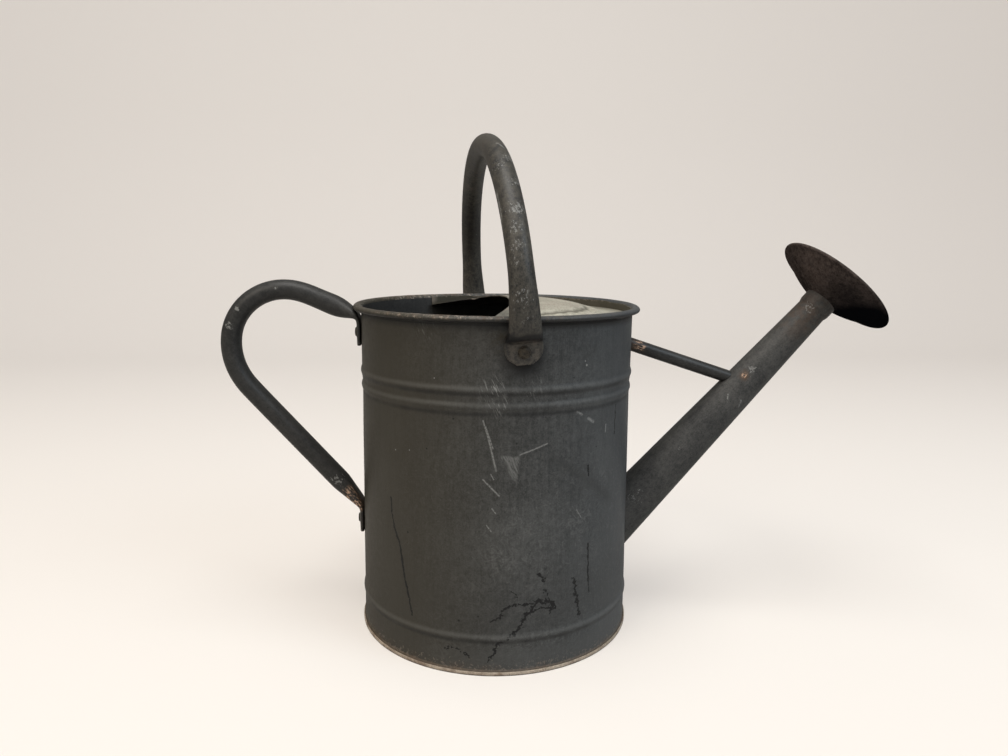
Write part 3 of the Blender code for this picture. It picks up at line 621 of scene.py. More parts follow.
def wall_material(colours):
    """Outside of the wall, with the marks that the real one has, and painted light: shade under the rim, the
    beads and the tab, highlights on the beads and the rim's top, and warm and cool tints on its sides.
    """
    material, tree, shader = new_material("Weathered wall")
    place, flat, across, height, radius = wall_place(tree)
    streak = node(tree, "ShaderNodeMapping", {"Vector": place, "Scale": (1.0, 1.0, 0.07)}).outputs[0]
    film = use(tree, "Weathered film", {
        "Place": place, "Streak place": streak, "Light": rgba(colours.paint_light),
        "Dark": rgba(colours.paint_dark_and_shade), "Patch scale": 17.0, "Streaks": 0.36, "Gloss": 0.5})
    colour = film["Colour"]

    slanted = node(
        tree, "ShaderNodeMapping",
        {"Vector": flat, "Rotation": (0.0, 0.0, STROKE_SLANT), "Scale": (1.0, 7.0, 1.0)},
        vector_type="TEXTURE").outputs[0]
    hatch = noise(tree, slanted, 950.0, 2.0, 0.6)
    shaken = wobble(tree, flat, 0.004, 130.0)
    rough_shaken = wobble(tree, flat, 0.008, 330.0)
    flakes = noise(tree, flat, 900.0, 4.0, 0.7)
    cloud = ramp(tree, noise(tree, flat, 95.0, 6.0, 0.72, 3.5), 0.45, 0.58)

    # Painted light: the spout's side of the wall is tinted bluish for the cool light from the right.
    cool_light_share = times(tree, ramp(tree, across, 0.01, 0.08), 0.45)
    colour = tint(tree, colour, colours.cool_light_tint, cool_light_share)
    wisps = ramp(tree, noise(tree, flat, 62.0, 7.0, 0.74, 7.0), 0.5, 0.66)
    wisps = times(tree, wisps, ramp(tree, height, 0.175, 0.12, 0.35))
    pale_patch = times(tree, spot_mask(tree, shaken, PALE_PATCHES), cloud)
    pale_patch = maths(tree, "MULTIPLY_ADD", wisps, 0.4, pale_patch)
    colour = tint(tree, colour, colours.scratches_and_highlights, maths(tree, "MULTIPLY", pale_patch, 0.32, clamp=True))
    dark_patch = times(tree, spot_mask(tree, shaken, DARK_PATCHES), cloud)
    smudge = times(tree, strokes(tree, shaken, SMUDGE), 0.45)
    colour = tint(tree, colour, colours.paint_dark_and_shade, maths(tree, "MAXIMUM", dark_patch, smudge))
    low = times(tree, ramp(tree, height, 0.085, 0.045), ramp(tree, height, 0.02, 0.028))
    colour = tint(tree, colour, colours.paint_dark_and_shade, low, 0.3)
    rubbed = times(tree, ramp(tree, height, 0.02, 0.01), ramp(tree, across, -0.09, -0.03, 0.3))
    colour = tint(tree, colour, colours.paint_light, rubbed, 0.5)
    # The rear handle's side is browner and darker: partly a brown film, partly painted warm light from the
    # left.
    grime_and_warm_tint = times(tree, ramp(tree, across, 0.02, -0.076), 0.76)
    colour = tint(tree, colour, colours.grime_and_warm_tint, grime_and_warm_tint)

    scuff = times(tree, scuff_mask(tree, shaken), ramp(tree, hatch, 0.3, 0.62))
    colour = tint(tree, colour, colours.scratches_and_highlights, scuff, 0.42)

    runs = times(tree, strokes(tree, wobble(tree, flat, 0.003, 300.0), DARK_RUNS), ramp(tree, flakes, 0.3, 0.5))
    branches = times(tree, strokes(tree, rough_shaken, DARK_BRANCHES), ramp(tree, flakes, 0.26, 0.42))
    dots = spot_mask(tree, flat, [((*centre, 0.0), size, 1.0) for size, centre in DARK_DOTS])
    dark = strongest(tree, [ramp(tree, runs, 0.05, 0.55), ramp(tree, branches, 0.08, 0.6), dots])
    colour = tint(tree, colour, colours.drips_and_shade, dark, 0.97)

    scratch = times(tree, strokes(tree, flat, PALE_SCRATCHES), ramp(tree, flakes, 0.36, 0.52))
    specks = spot_mask(tree, flat, [((*centre, 0.0), size, 1.0) for size, centre in PALE_SPECKS])
    dust = chip_mask(tree, flat, 640.0, 0.22)
    scuffs = times(tree, spot_mask(tree, shaken, SCUFFED), ramp(tree, hatch, 0.53, 0.64))
    pale = strongest(tree, [scratch, ramp(tree, specks, 0.15, 0.6), times(tree, dust, 0.35), scuffs])
    colour = tint(tree, colour, colours.scratches_and_highlights, pale, 0.72)

    front = times(tree, ramp(tree, across, -0.088, -0.064), ramp(tree, across, 0.06, -0.002))
    front = maths(tree, "MULTIPLY_ADD", front, 0.75, 0.25)
    rim = ramp(tree, height, RIM_TOP - 0.0046, RIM_TOP - 0.002)
    rim_wear = times(tree, rim, front)
    worn_rim = ramp(tree, noise(tree, place, 330.0, 5.0, 0.7), 0.44, 0.6)
    rim_chips = chip_mask(
        tree, place, 560.0, maths(tree, "MULTIPLY_ADD", ramp(tree, across, 0.01, -0.02), 0.24, 0.42))
    rim_pale = maths(tree, "MAXIMUM", times(tree, worn_rim, 0.22), rim_chips)
    # Pale wear is kept mostly to the rim's top, which also paints the rim's highlight from the light above.
    crest_highlight = ramp(tree, height, RIM_TOP - 0.0034, RIM_TOP - 0.0022, 0.35)
    rim_pale = times(tree, rim_pale, crest_highlight)
    # Painted shade on the lower, outer face of the rolled rim, which faces away from the light above.
    rim_underside_shade = times(
        tree, ramp(tree, height, RIM_TOP - 0.0022, RIM_TOP - 0.0036),
        ramp(tree, radius, TOP_RADIUS - 0.0004, TOP_RADIUS + 0.0004))
    colour = tint(
        tree, colour, colours.drips_and_shade, rim_underside_shade, ramp(tree, height, RIM_TOP - 0.0062, RIM_TOP - 0.005), 0.55)
    colour = tint(tree, colour, colours.bare, rim_wear, rim_pale)
    proud = ramp(tree, maths(tree, "SUBTRACT", radius, wall_line(tree, height)), 0.0002, 0.0007)
    beads = times(tree, proud, front, ramp(tree, height, 0.215, 0.2))
    bead_chips = chip_mask(tree, flat, 700.0, 0.3)
    colour = tint(tree, colour, colours.scratches_and_highlights, beads, bead_chips, 0.35)
    foot_wear = ramp(tree, height, FLOOR + 0.022, FLOOR + 0.002)
    foot_chips = chip_mask(tree, flat, 420.0, times(tree, foot_wear, 0.75))
    colour = tint(tree, colour, colours.bare, foot_wear, foot_chips, 0.45)
    foot_rust = times(
        tree, ramp(tree, height, FLOOR + 0.01, FLOOR), ramp(tree, noise(tree, flat, 70.0, 5.0), 0.48, 0.62))
    rim_rust = times(tree, rim_wear, ramp(tree, noise(tree, flat, 160.0, 5.0), 0.5, 0.62))
    tab_stain = times(tree, cloud, spot_mask(tree, shaken, [((-0.006, 0.217, 0.0), 0.011, 0.9)]))
    rust = maths(tree, "MAXIMUM", times(tree, foot_rust, 0.3), times(tree, rim_rust, 0.25))
    colour = tint(tree, colour, colours.rust, rust)
    colour = tint(tree, colour, colours.grime_and_warm_tint, tab_stain)
    # Painted light on the beads: a painted highlight along each bead's upper flank and painted shade below it,
    # away from the light above.
    shade_below_beads = []
    bead_highlights = []
    for bead, foot, share in (
            (FIRST_BEAD, 0.0022, 0.62), (SECOND_BEAD, 0.0046, 0.6), (LOWER_BEAD, 0.0024, 0.6)):
        away = maths(tree, "ABSOLUTE", maths(tree, "SUBTRACT", height, bead - foot))
        shade_below_beads.append(times(tree, ramp(tree, away, PAINTED_BEAD_BAND, 0.0), share))
        away = maths(tree, "ABSOLUTE", maths(tree, "SUBTRACT", height, bead + BEAD_SHINE))
        bead_highlights.append(ramp(tree, away, PAINTED_BEAD_BAND, 0.0))
    patchy = ramp(tree, noise(tree, streak, 60.0, 4.0, 0.6), 0.3, 0.62, 0.45)
    bead_shade = times(tree, strongest(tree, shade_below_beads), patchy)
    colour = tint(tree, colour, colours.scratches_and_highlights, strongest(tree, bead_highlights), 0.11)
    colour = tint(tree, colour, colours.drips_and_shade, bead_shade)
    seam = ramp(tree, height, FLOOR + 0.0046, FLOOR + 0.003)
    colour = tint(tree, colour, colours.worn_dip, seam, 0.45)
    # Painted shadow below the rim, deeper on the spout's side, and painted shadow on the wall round the
    # carrying handle's front tab.
    wide = times(tree, ramp(tree, height, RIM_TOP - 0.012, RIM_TOP - 0.0066), 0.8)
    under_rim_shadow = times(
        tree, ramp(tree, height, RIM_TOP - 0.0043, RIM_TOP - 0.0052),
        maths(tree, "MAXIMUM", wide, ramp(tree, height, RIM_TOP - 0.0082, RIM_TOP - 0.0068, 0.0, 1.2)))
    shade = maths(
        tree, "MAXIMUM", times(tree, under_rim_shadow, ramp(tree, across, -0.03, 0.02, 0.62, 0.92)),
        spot_mask(tree, flat, [((0.0082, PIVOT_HEIGHT - 0.0035, 0.0), 0.0215, 1.3)]))
    colour = tint(tree, colour, colours.drips_and_shade, shade)

    raised = maths(tree, "SUBTRACT", film["Height"], times(tree, pale, 0.5))
    finish_shader(tree, shader, colour, film["Roughness"], raised)
    shader.inputs["Specular IOR Level"].default_value = 0.35
    return material


def inside_material(colours):
    """Inside of the can: dull, darker and a little rusty towards the bottom."""
    material, tree, shader = new_material("Can inside")
    place, _, across, height, _ = wall_place(tree)
    streak = node(tree, "ShaderNodeMapping", {"Vector": place, "Scale": (1.0, 1.0, 0.15)}).outputs[0]
    film = use(tree, "Weathered film", {
        "Place": place, "Streak place": streak, "Light": rgba(colours.handle_light),
        "Dark": rgba(colours.handle_dark), "Patch scale": 22.0, "Streaks": 0.35, "Gloss": 0.6})
    low = times(tree, ramp(tree, height, 0.12, 0.0), ramp(tree, noise(tree, place, 45.0, 5.0), 0.42, 0.66))
    colour = tint(tree, film["Colour"], colours.rust, low, 0.6)
    covered = times(tree, ramp(tree, height, RIM_TOP - 0.012, RIM_TOP - 0.004), ramp(tree, across, 0.0, 0.04))
    colour = tint(tree, colour, colours.cover_dark, covered, 0.35)
    finish_shader(tree, shader, colour, film["Roughness"], film["Height"])
    shader.inputs["Specular IOR Level"].default_value = 0.3
    return material


def piece_material(name, light, dark, colours, turn=(0.0, 0.0, 0.0), stretch=5.0,
                   patch=30.0, streaks=0.4, gloss=0.5, chips=0.1, chip_share=0.6, chip_scale=520.0,
                   rust_spots=(), chip_spots=(), bright_spots=(), dark_spots=(),
                   rings=(), dark_lines=(), pale_lines=(), metallic=0.0, chip_stretch=1.0, shine=0.3):
    """Weathered finish for a piece, with chips, scrapes and rust where they are asked for, and dark and pale
    marks, which some pieces use for painted shade and painted highlights.
    """
    material, tree, shader = new_material(name)
    place = object_place(tree)
    film = use(tree, "Weathered film", {
        "Place": place, "Streak place": drawn_out(tree, place, turn, stretch), "Light": rgba(light),
        "Dark": rgba(dark), "Patch scale": patch, "Streaks": streaks, "Gloss": gloss})
    colour = film["Colour"]
    shaken = wobble(tree, place, 0.006, 120.0)
    if dark_spots:
        colour = tint(tree, colour, colours.drips_and_shade, spot_mask(tree, shaken, dark_spots))
    if rust_spots:
        patches = ramp(tree, noise(tree, place, 210.0, 5.0, 0.65), 0.36, 0.6)
        spots = times(tree, spot_mask(tree, shaken, rust_spots), patches)
        colour = tint(tree, colour, colours.rust, spots)
    amount = chips
    if chip_spots:
        amount = maths(tree, "ADD", spot_mask(tree, place, chip_spots), chips)
    flake_place = drawn_out(tree, place, turn, chip_stretch)
    flakes = chip_mask(tree, flake_place, chip_scale, amount)
    colour = tint(tree, colour, colours.scratches_and_highlights, flakes, chip_share)
    if bright_spots:
        scrapes = ramp(tree, noise(tree, drawn_out(tree, place, turn, 3.0), 900.0, 3.0, 0.65), 0.5, 0.6)
        spots = times(tree, ramp(tree, spot_mask(tree, shaken, bright_spots), 0.0, 0.7), scrapes)
        colour = tint(tree, colour, colours.copper, spots)
    if pale_lines:
        broken = ramp(tree, noise(tree, place, 500.0, 4.0, 0.7), 0.38, 0.54)
        lines = times(tree, strokes(tree, place, pale_lines), broken)
        colour = tint(tree, colour, colours.scratches_and_highlights, lines, 0.7)
    if dark_lines:
        lines = ramp(tree, strokes(tree, shaken, dark_lines), 0.0, 0.6)
        colour = tint(tree, colour, colours.drips_and_shade, lines, 0.92)
    for centre, size, width, strength in rings:
        band = use(tree, "Ring", {"Place": place, "Centre": centre, "Radius": size, "Width": width})["Mask"]
        worn = ramp(tree, noise(tree, place, 420.0, 4.0, 0.65), 0.34, 0.58)
        share = times(tree, band, worn, strength)
        colour = tint(tree, colour, colours.bare, share)
    raised = maths(tree, "SUBTRACT", film["Height"], times(tree, flakes, 0.6))
    finish_shader(tree, shader, colour, film["Roughness"], raised)
    shader.inputs["Specular IOR Level"].default_value = shine
    shader.inputs["Metallic"].default_value = metallic
    return material


# Modelling helpers

WAIST_RADIUS = 0.0976
BASE_RADIUS = 0.0994
TOP_RADIUS = 0.0981
FIRST_BEAD = RIM_TOP - 0.0473
SECOND_BEAD = RIM_TOP - 0.0576
LOWER_BEAD = FLOOR + 0.0258
SHOULDER = (FIRST_BEAD + SECOND_BEAD) / 2


def ease(share):
    """From 0 to 1, slow at both ends."""
    share = min(max(share, 0.0), 1.0)
    return share * share * (3.0 - 2.0 * share)


def nearness(y):
    """1 at the front of the rim, 0 at its back."""
    return ease(0.5 - y / PRESS_REACH)


def mix(first, second, share):
    return first + (second - first) * share


def line_distance(x, y, start, end):
    """Distance in plan from a place to a line between two places."""
    run = Vector(end) - Vector(start)
    reach = Vector((x, y)) - Vector(start)
    share = min(max(reach.dot(run) / run.length_squared, 0.0), 1.0)
    return (reach - run * share).length


def plain_radius(height):
    """Outside radius of the wall without its beads."""
    if height >= SHOULDER:
        return TOP_RADIUS
    share = (height - FLOOR) / (SHOULDER - FLOOR)
    return BASE_RADIUS + (WAIST_RADIUS - BASE_RADIUS) * share


def object_mode():
    if bpy.context.object and bpy.context.object.mode != "OBJECT":
        bpy.ops.object.mode_set(mode="OBJECT")


def deselect():
    object_mode()
    bpy.ops.object.select_all(action="DESELECT")


def edit_all():
    """Go to edit mode with everything selected."""
    bpy.ops.object.mode_set(mode="EDIT")
    bpy.ops.mesh.select_all(action="SELECT")


def pick(item):
    deselect()
    item.select_set(True)
    bpy.context.view_layer.objects.active = item


def draw_line(name, points):
    """One vertex, extruded from place to place into a line."""
    deselect()
    bpy.ops.mesh.primitive_plane_add(size=SHEET)
    item = bpy.context.object
    item.name = name
    edit_all()
    bpy.ops.mesh.merge(type="CENTER")
    here = Vector(points[0])
    bpy.ops.transform.translate(value=here)
    for point in points[1:]:
        bpy.ops.mesh.extrude_region_move(TRANSFORM_OT_translate={"value": Vector(point) - here})
        here = Vector(point)
    return item


def turn_line(item, steps):
    """Spin the drawn line once round the upright axis."""
    bpy.ops.mesh.select_all(action="SELECT")
    bpy.ops.mesh.spin(steps=steps, angle=2 * math.pi, center=(0, 0, 0), axis=(0, 0, 1))
    bpy.ops.mesh.select_all(action="SELECT")
    bpy.ops.mesh.remove_doubles(threshold=MERGE)
    bpy.ops.mesh.normals_make_consistent(inside=False)
    object_mode()
    return item


def turned(name, outline, steps, closed=False):
    points = [(r, 0.0, z) for r, z in outline]
    if closed:
        points.append(points[0])
    return turn_line(draw_line(name, points), steps)


def apply_modifier(item, kind, **settings):
    pick(item)
    modifier = item.modifiers.new(kind.title(), kind)
    for key, value in settings.items():
        setattr(modifier, key, value)
    bpy.ops.object.modifier_apply(modifier=modifier.name)


def cut_away(item, cutter, operation="DIFFERENCE"):
    apply_modifier(item, "BOOLEAN", object=cutter, operation=operation, solver="EXACT")


def remove(item):
    bpy.data.objects.remove(item, do_unlink=True)


def settle(item):
    """Put the object's place into its mesh."""
    pick(item)
    bpy.ops.object.transform_apply(location=True, rotation=True, scale=True)


def to_spout(item):
    """Stand a piece that was turned upright on the spout's axis."""
    item.location = (SPOUT_FOOT_OUT, 0.0, SPOUT_FOOT_HEIGHT)
    item.rotation_euler = (0.0, SPOUT_TILT, 0.0)
    settle(item)
    return item


def outwards(item, azimuth, height):
    """Point a piece that was turned upright away from the can's axis."""
    item.rotation_euler = (0.0, math.pi / 2, azimuth)
    item.location = (0.0, 0.0, height)
    settle(item)
    return item


def join(pieces):
    deselect()
    for piece in pieces:
        piece.select_set(True)
    bpy.context.view_layer.objects.active = pieces[0]
    bpy.ops.object.join()
    return pieces[0]


def finish_piece(item, materials, body, slot, *nodes, second=None):
    """Smooth a piece, give it its finish and let it ride on its body.

    Faces for which second is true take the second material.
    """
    pick(item)
    bpy.ops.object.shade_smooth_by_angle(angle=CRISP_ANGLE)
    item.data.materials.clear()
    for material in materials:
        item.data.materials.append(material)
    for polygon in item.data.polygons:
        polygon.material_index = int(bool(second and second(polygon)))
    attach(item, body)
    if nodes:
        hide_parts(*nodes)
    deselect()
    return item


def spout_radius(distance):
    return SPOUT_BASE_RADIUS + (SPOUT_TIP_RADIUS - SPOUT_BASE_RADIUS) * distance / SPOUT_LENGTH


def wall_tool(grow):
    """Everything inside the wall's outer face, as a cutter."""
    rows = [FLOOR - 0.01, SHOULDER - 0.0001, SHOULDER, RIM_TOP + 0.01]
    outline = [(0.0, rows[0])] + [(plain_radius(z) + grow, z) for z in rows] + [(0.0, rows[-1])]
    return turned("wall_tool", outline, WALL_STEPS)


def spout_tool(grow, start=-SPOUT_INSIDE, end=SPOUT_LENGTH):
    outline = [(0.0, start), (spout_radius(start) + grow, start), (spout_radius(end) + grow, end), (0.0, end)]
    return to_spout(turned("spout_tool", outline, TUBE_STEPS))


# Pieces

class CAN_OT_wall(bpy.types.Operator):
    """Roll the wall with its beads, rim and shallow dents"""
    bl_idname = "can.wall"
    bl_label = "Wall"

    def outline(self, rise):
        line = []
        rows = []
        z = FLOOR + SHEET + CLEARANCE
        while z < RIM_TOP - ROLL_RADIUS - WALL_ROW / 2:
            rows.append((z, 0.0))
            z += WALL_ROW
        for middle in (LOWER_BEAD, SECOND_BEAD, FIRST_BEAD):
            low, high = middle - BEAD_WIDTH / 2, middle + BEAD_WIDTH / 2
            rows = [row for row in rows if not low - WALL_ROW / 3 < row[0] < high + WALL_ROW / 3]
            for k in range(BEAD_POINTS + 1):
                share = k / BEAD_POINTS
                rows.append((low + BEAD_WIDTH * share, rise * (1 - math.cos(2 * math.pi * share)) / 2))
        for height, proud in sorted(rows):
            line.append((plain_radius(height) + proud, height))
        centre = TOP_RADIUS - SHEET + ROLL_RADIUS
        small = ROLL_RADIUS - SHEET
        for k in range(ROLL_POINTS + 1):
            angle = math.radians(180 - ROLL_TURN * k / ROLL_POINTS)
            line.append((centre + small * math.cos(angle), RIM_TOP - ROLL_RADIUS + small * math.sin(angle)))
        return line

    def execute(self, context):
        sizes = context.scene.can_sizes
        colours = context.scene.can_colours
        wall = turned("can_shell", self.outline(sizes.bead_rise), WALL_STEPS)
        dents = bpy.data.textures.new("Shallow dents", "CLOUDS")
        dents.noise_scale = 0.055
        dents.noise_depth = 1
        outward = 1.0 if self.faces_out(wall) else -1.0
        apply_modifier(
            wall, "DISPLACE", texture=dents, texture_coords="LOCAL",
            strength=sizes.dent_depth * outward, mid_level=1.0)
        apply_modifier(wall, "SOLIDIFY", thickness=SHEET, offset=-outward, use_even_offset=True)
        for vertex in wall.data.vertices:
            if vertex.co.z > RIM_TOP - 2 * ROLL_RADIUS - CLEARANCE:
                factor = 1.0 - RIM_PRESS * nearness(vertex.co.y)
                vertex.co.z = RIM_STAY + (vertex.co.z - RIM_STAY) * factor
        bore = spout_tool(-0.0022, -SPOUT_INSIDE, SPOUT_INSIDE)
        cut_away(wall, bore)
        remove(bore)
        finish_piece(
            wall, [wall_material(colours), inside_material(colours)], CAN, "weathered_paint", "can_wall",
            second=self.is_inside)
        return {"FINISHED"}

    def is_inside(self, polygon):
        centre = polygon.center
        return centre.z < RIM_TOP - ROLL_RADIUS and polygon.normal.xy.dot(centre.xy) < 0

    def faces_out(self, wall):
        middle = min(wall.data.polygons, key=lambda p: abs(p.center.z - 0.1) + abs(p.center.y + 0.1))
        return middle.normal.y < 0


class CAN_OT_base(bpy.types.Operator):
    """Turn the bottom disc and the folded foot seam"""
    bl_idname = "can.base"
    bl_label = "Base"

    def execute(self, context):
        colours = context.scene.can_colours
        bend, fold = FOOT_BEND, FOOT_FOLD
        foot_in = BASE_RADIUS - 2 * SHEET - CLEARANCE
        foot_out = BASE_RADIUS + CLEARANCE + SHEET
        outline = [(0.0, 0.0), (0.03, 0.0), (0.06, 0.0), (foot_in - bend, 0.0)]
        for k in range(1, 4):
            angle = math.radians(30 * k)
            outline.append((foot_in - bend + bend * math.sin(angle), -bend + bend * math.cos(angle)))
        rounding = fold * 0.3
        outline += [(foot_in, FLOOR + fold), (foot_in + rounding, FLOOR + rounding), (foot_in + fold, FLOOR)]
        outline += [(foot_out - fold, FLOOR), (foot_out - rounding, FLOOR + rounding), (foot_out, FLOOR + fold)]
        outline += [(foot_out, FLOOR + 0.0022), (foot_out - 0.0002, FLOOR + FOOT_LAP)]
        outline += [(foot_out - SHEET, FLOOR + FOOT_LAP), (foot_out - SHEET, FLOOR + SHEET)]
        outline += [(foot_in + SHEET, FLOOR + SHEET), (foot_in + SHEET, -bend)]
        for k in range(2, -1, -1):
            angle = math.radians(30 * k + 15)
            reach = bend + SHEET
            outline.append((foot_in - bend + reach * math.sin(angle), -bend + reach * math.cos(angle)))
        outline += [(0.06, SHEET), (0.03, SHEET), (0.0, SHEET)]
        base = turned("foot_seam", outline, WALL_STEPS)
        material, tree, shader = new_material("Worn foot")
        place, flat, _, height, radius = wall_place(tree)
        film = use(tree, "Weathered film", {
            "Place": place, "Streak place": flat, "Light": rgba(colours.worn_edge),
            "Dark": rgba(colours.worn_dip), "Patch scale": 60.0, "Streaks": 0.3, "Gloss": 0.5})
        rust = ramp(tree, noise(tree, place, 80.0, 5.0, 0.65), 0.5, 0.64)
        colour = tint(tree, film["Colour"], colours.rust, rust, 0.55)
        # Painted shade on the foot's lowest millimetre, whose lower edge faces away from the light.
        foot_edge_shade = times(tree, ramp(tree, height, FLOOR + 0.0011, FLOOR + 0.0004), 0.8)
        colour = tint(tree, colour, colours.brown_dark, foot_edge_shade)
        inside = maths(tree, "LESS_THAN", radius, foot_in - bend)
        colour = tint(tree, colour, colours.paint_dark_and_shade, inside, 0.6)
        finish_shader(tree, shader, colour, film["Roughness"], film["Height"])
        shader.inputs["Metallic"].default_value = 0.15
        finish_piece(base, [material], CAN, "worn_foot", "can_base")
        return {"FINISHED"}


class CAN_OT_cover(bpy.types.Operator):
    """Form the vaulted half cover with its turned-up flange"""
    bl_idname = "can.cover"
    bl_label = "Half cover"

    def height(self, x, y):
        """Upper face at a place in plan."""
        radius = math.hypot(x, y)
        left = ease((LEFT_START - x) / LEFT_REACH)
        inner = mix(TIER_INNER, LEFT_TIER_INNER, left)
        outer = mix(TIER_OUTER, FLANGE_RADIUS, left)
        share = min(max((outer - radius) / (outer - inner), 0.0), 1.0)
        tier = mix(ease(share), share, left)
        along = max(0.0, x - CREST_X) / VAULT_REACH
        inside = max(0.0, 1.0 - along ** 2 - (y / VAULT_HALF_WIDTH) ** 2)
        height = PLATE_HEIGHT + tier * (TIER_RISE + HOOD_LEAN * y)
        height += VAULT_RISE * inside ** VAULT_POWER
        height -= CORNER_SAG * left * (1.0 - tier)
        for width, line in COVER_CREASES:
            for start, end in zip(line, line[1:]):
                height -= CREASE_DEPTH * math.exp(-(line_distance(x, y, start, end) / width) ** 2)
        return height

    def place(self, along, across):
        """Place in plan from the mouth's edge to the wall."""
        angle = across * MOUTH_TURN
        wall = Vector((math.cos(angle), math.sin(angle))) * FLANGE_RADIUS
        corner = Vector((math.cos(MOUTH_TURN), math.sin(MOUTH_TURN))) * FLANGE_RADIUS
        power = FAR_MOUTH_POWER if across > 0 else NEAR_MOUTH_POWER
        mouth = Vector((
            CREST_X - (CREST_X - corner.x) * abs(across) ** power,
            (corner.y - MOUTH_CORNER) * across))
        return mouth.lerp(wall, along)

    def execute(self, context):
        colours = context.scene.can_colours
        deselect()
        bpy.ops.mesh.primitive_grid_add(x_subdivisions=COVER_ROWS, y_subdivisions=COVER_COLUMNS, size=1.0)
        cover = bpy.context.object
        cover.name = "half_cover"
        for vertex in cover.data.vertices:
            plan = self.place(vertex.co.x + 0.5, vertex.co.y * 2.0)
            vertex.select = vertex.co.x > 0.4999
            vertex.co = (plan.x, plan.y, self.height(plan.x, plan.y) - SHEET)
        for edge in cover.data.edges:
            edge.select = all(cover.data.vertices[i].select for i in edge.vertices)
        for polygon in cover.data.polygons:
            polygon.select = False
        bpy.ops.object.mode_set(mode="EDIT")
        bpy.ops.mesh.select_mode(type="EDGE")
        bpy.ops.mesh.extrude_region_move(TRANSFORM_OT_translate={"value": (0.0, 0.0, PLATE_DROP / 2)})
        bpy.ops.mesh.extrude_region_move(TRANSFORM_OT_translate={"value": (0.0, 0.0, PLATE_DROP)})
        bpy.ops.mesh.select_mode(type="VERT")
        object_mode()
        top = RIM_TOP - FLANGE_DROP
        for vertex in cover.data.vertices:
            if vertex.select:
                wear = 0.5 + 0.5 * math.sin(vertex.co.y * 211.0 + vertex.co.x * 97.0)
                vertex.co.z = top - FLANGE_WEAR * wear - FLANGE_PRESS * nearness(vertex.co.y)
        pick(cover)
        edit_all()
        bpy.ops.mesh.remove_doubles(threshold=MERGE)
        object_mode()
        middle = min(cover.data.polygons, key=lambda p: (p.center - Vector((0.06, 0.0, RIM_TOP))).length)
        apply_modifier(
            cover, "SOLIDIFY", thickness=SHEET, offset=1.0 if middle.normal.z > 0 else -1.0,
            use_even_offset=True)

        # The cover's lightness partly paints the top light and sky reflection on its upward face.
        material, tree, shader = new_material("Pale cover")
        place = object_place(tree)
        film = use(tree, "Weathered film", {
            "Place": place, "Streak place": drawn_out(tree, place, (0.0, math.pi / 2, 0.0), 4.0),
            "Light": rgba(colours.cover_light), "Dark": rgba(colours.cover_dark),
            "Patch scale": 34.0, "Streaks": 0.3, "Gloss": 0.62})
        chips = chip_mask(tree, place, 420.0, 0.26)
        colour = tint(tree, film["Colour"], colours.drips_and_shade, chips, 0.45)
        plan = vector_maths(tree, "MULTIPLY", place, (1.0, 1.0, 0.0)).outputs[0]
        # Painted shade in the cover's creases.
        creases = strokes(tree, plan, COVER_CREASES)
        colour = tint(tree, colour, colours.olive, creases, 0.7)
        parts = node(tree, "ShaderNodeSeparateXYZ", {0: place}).outputs
        # Painted shadow of the rim on the cover's far part, and a darker band along the mouth.
        far_edge = times(tree, ramp(tree, parts[0], 0.034, 0.004), ramp(tree, parts[1], 0.01, 0.04))
        mouth_edge = times(tree, ramp(tree, parts[0], 0.022, -0.002), ramp(tree, parts[1], 0.05, -0.01))
        rim_shadow_and_mouth_band = maths(tree, "MAXIMUM", times(tree, far_edge, 0.92), times(tree, mouth_edge, 0.7))
        colour = tint(tree, colour, colours.paint_dark_and_shade, rim_shadow_and_mouth_band)
        radius = vector_maths(tree, "LENGTH", plan).outputs[1]
        # Painted shade: the flange and the far margin lie in the rim's shadow and are dulled to olive.
        flange = times(tree, ramp(tree, radius, FLANGE_RADIUS - 0.003, FLANGE_RADIUS - 0.0012), 0.92)
        margin = times(tree, ramp(tree, radius, 0.076, 0.092), ramp(tree, parts[1], -0.05, 0.06, 0.15, 0.7))
        colour = tint(tree, colour, colours.olive, maths(tree, "MAXIMUM", flange, margin))
        wear = times(
            tree, ramp(tree, parts[2], RIM_TOP - 0.003, RIM_TOP - 0.0012),
            ramp(tree, noise(tree, place, 300.0, 5.0, 0.7), 0.46, 0.6))
        corner = use(tree, "Spot", {
            "Place": place, "Centre": (-0.0465, 0.0852, RIM_TOP - 0.003), "Radius": 0.0065})["Mask"]
        colour = tint(tree, colour, colours.bare, maths(tree, "MAXIMUM", wear, corner), 0.75)
        finish_shader(tree, shader, colour, film["Roughness"], film["Height"])
        shader.inputs["Specular IOR Level"].default_value = 0.3
        finish_piece(
            cover, [material, inside_material(colours)], CAN, "pale_paint", "top_cover",
            second=lambda polygon: polygon.normal.z < -0.2)
        return {"FINISHED"}


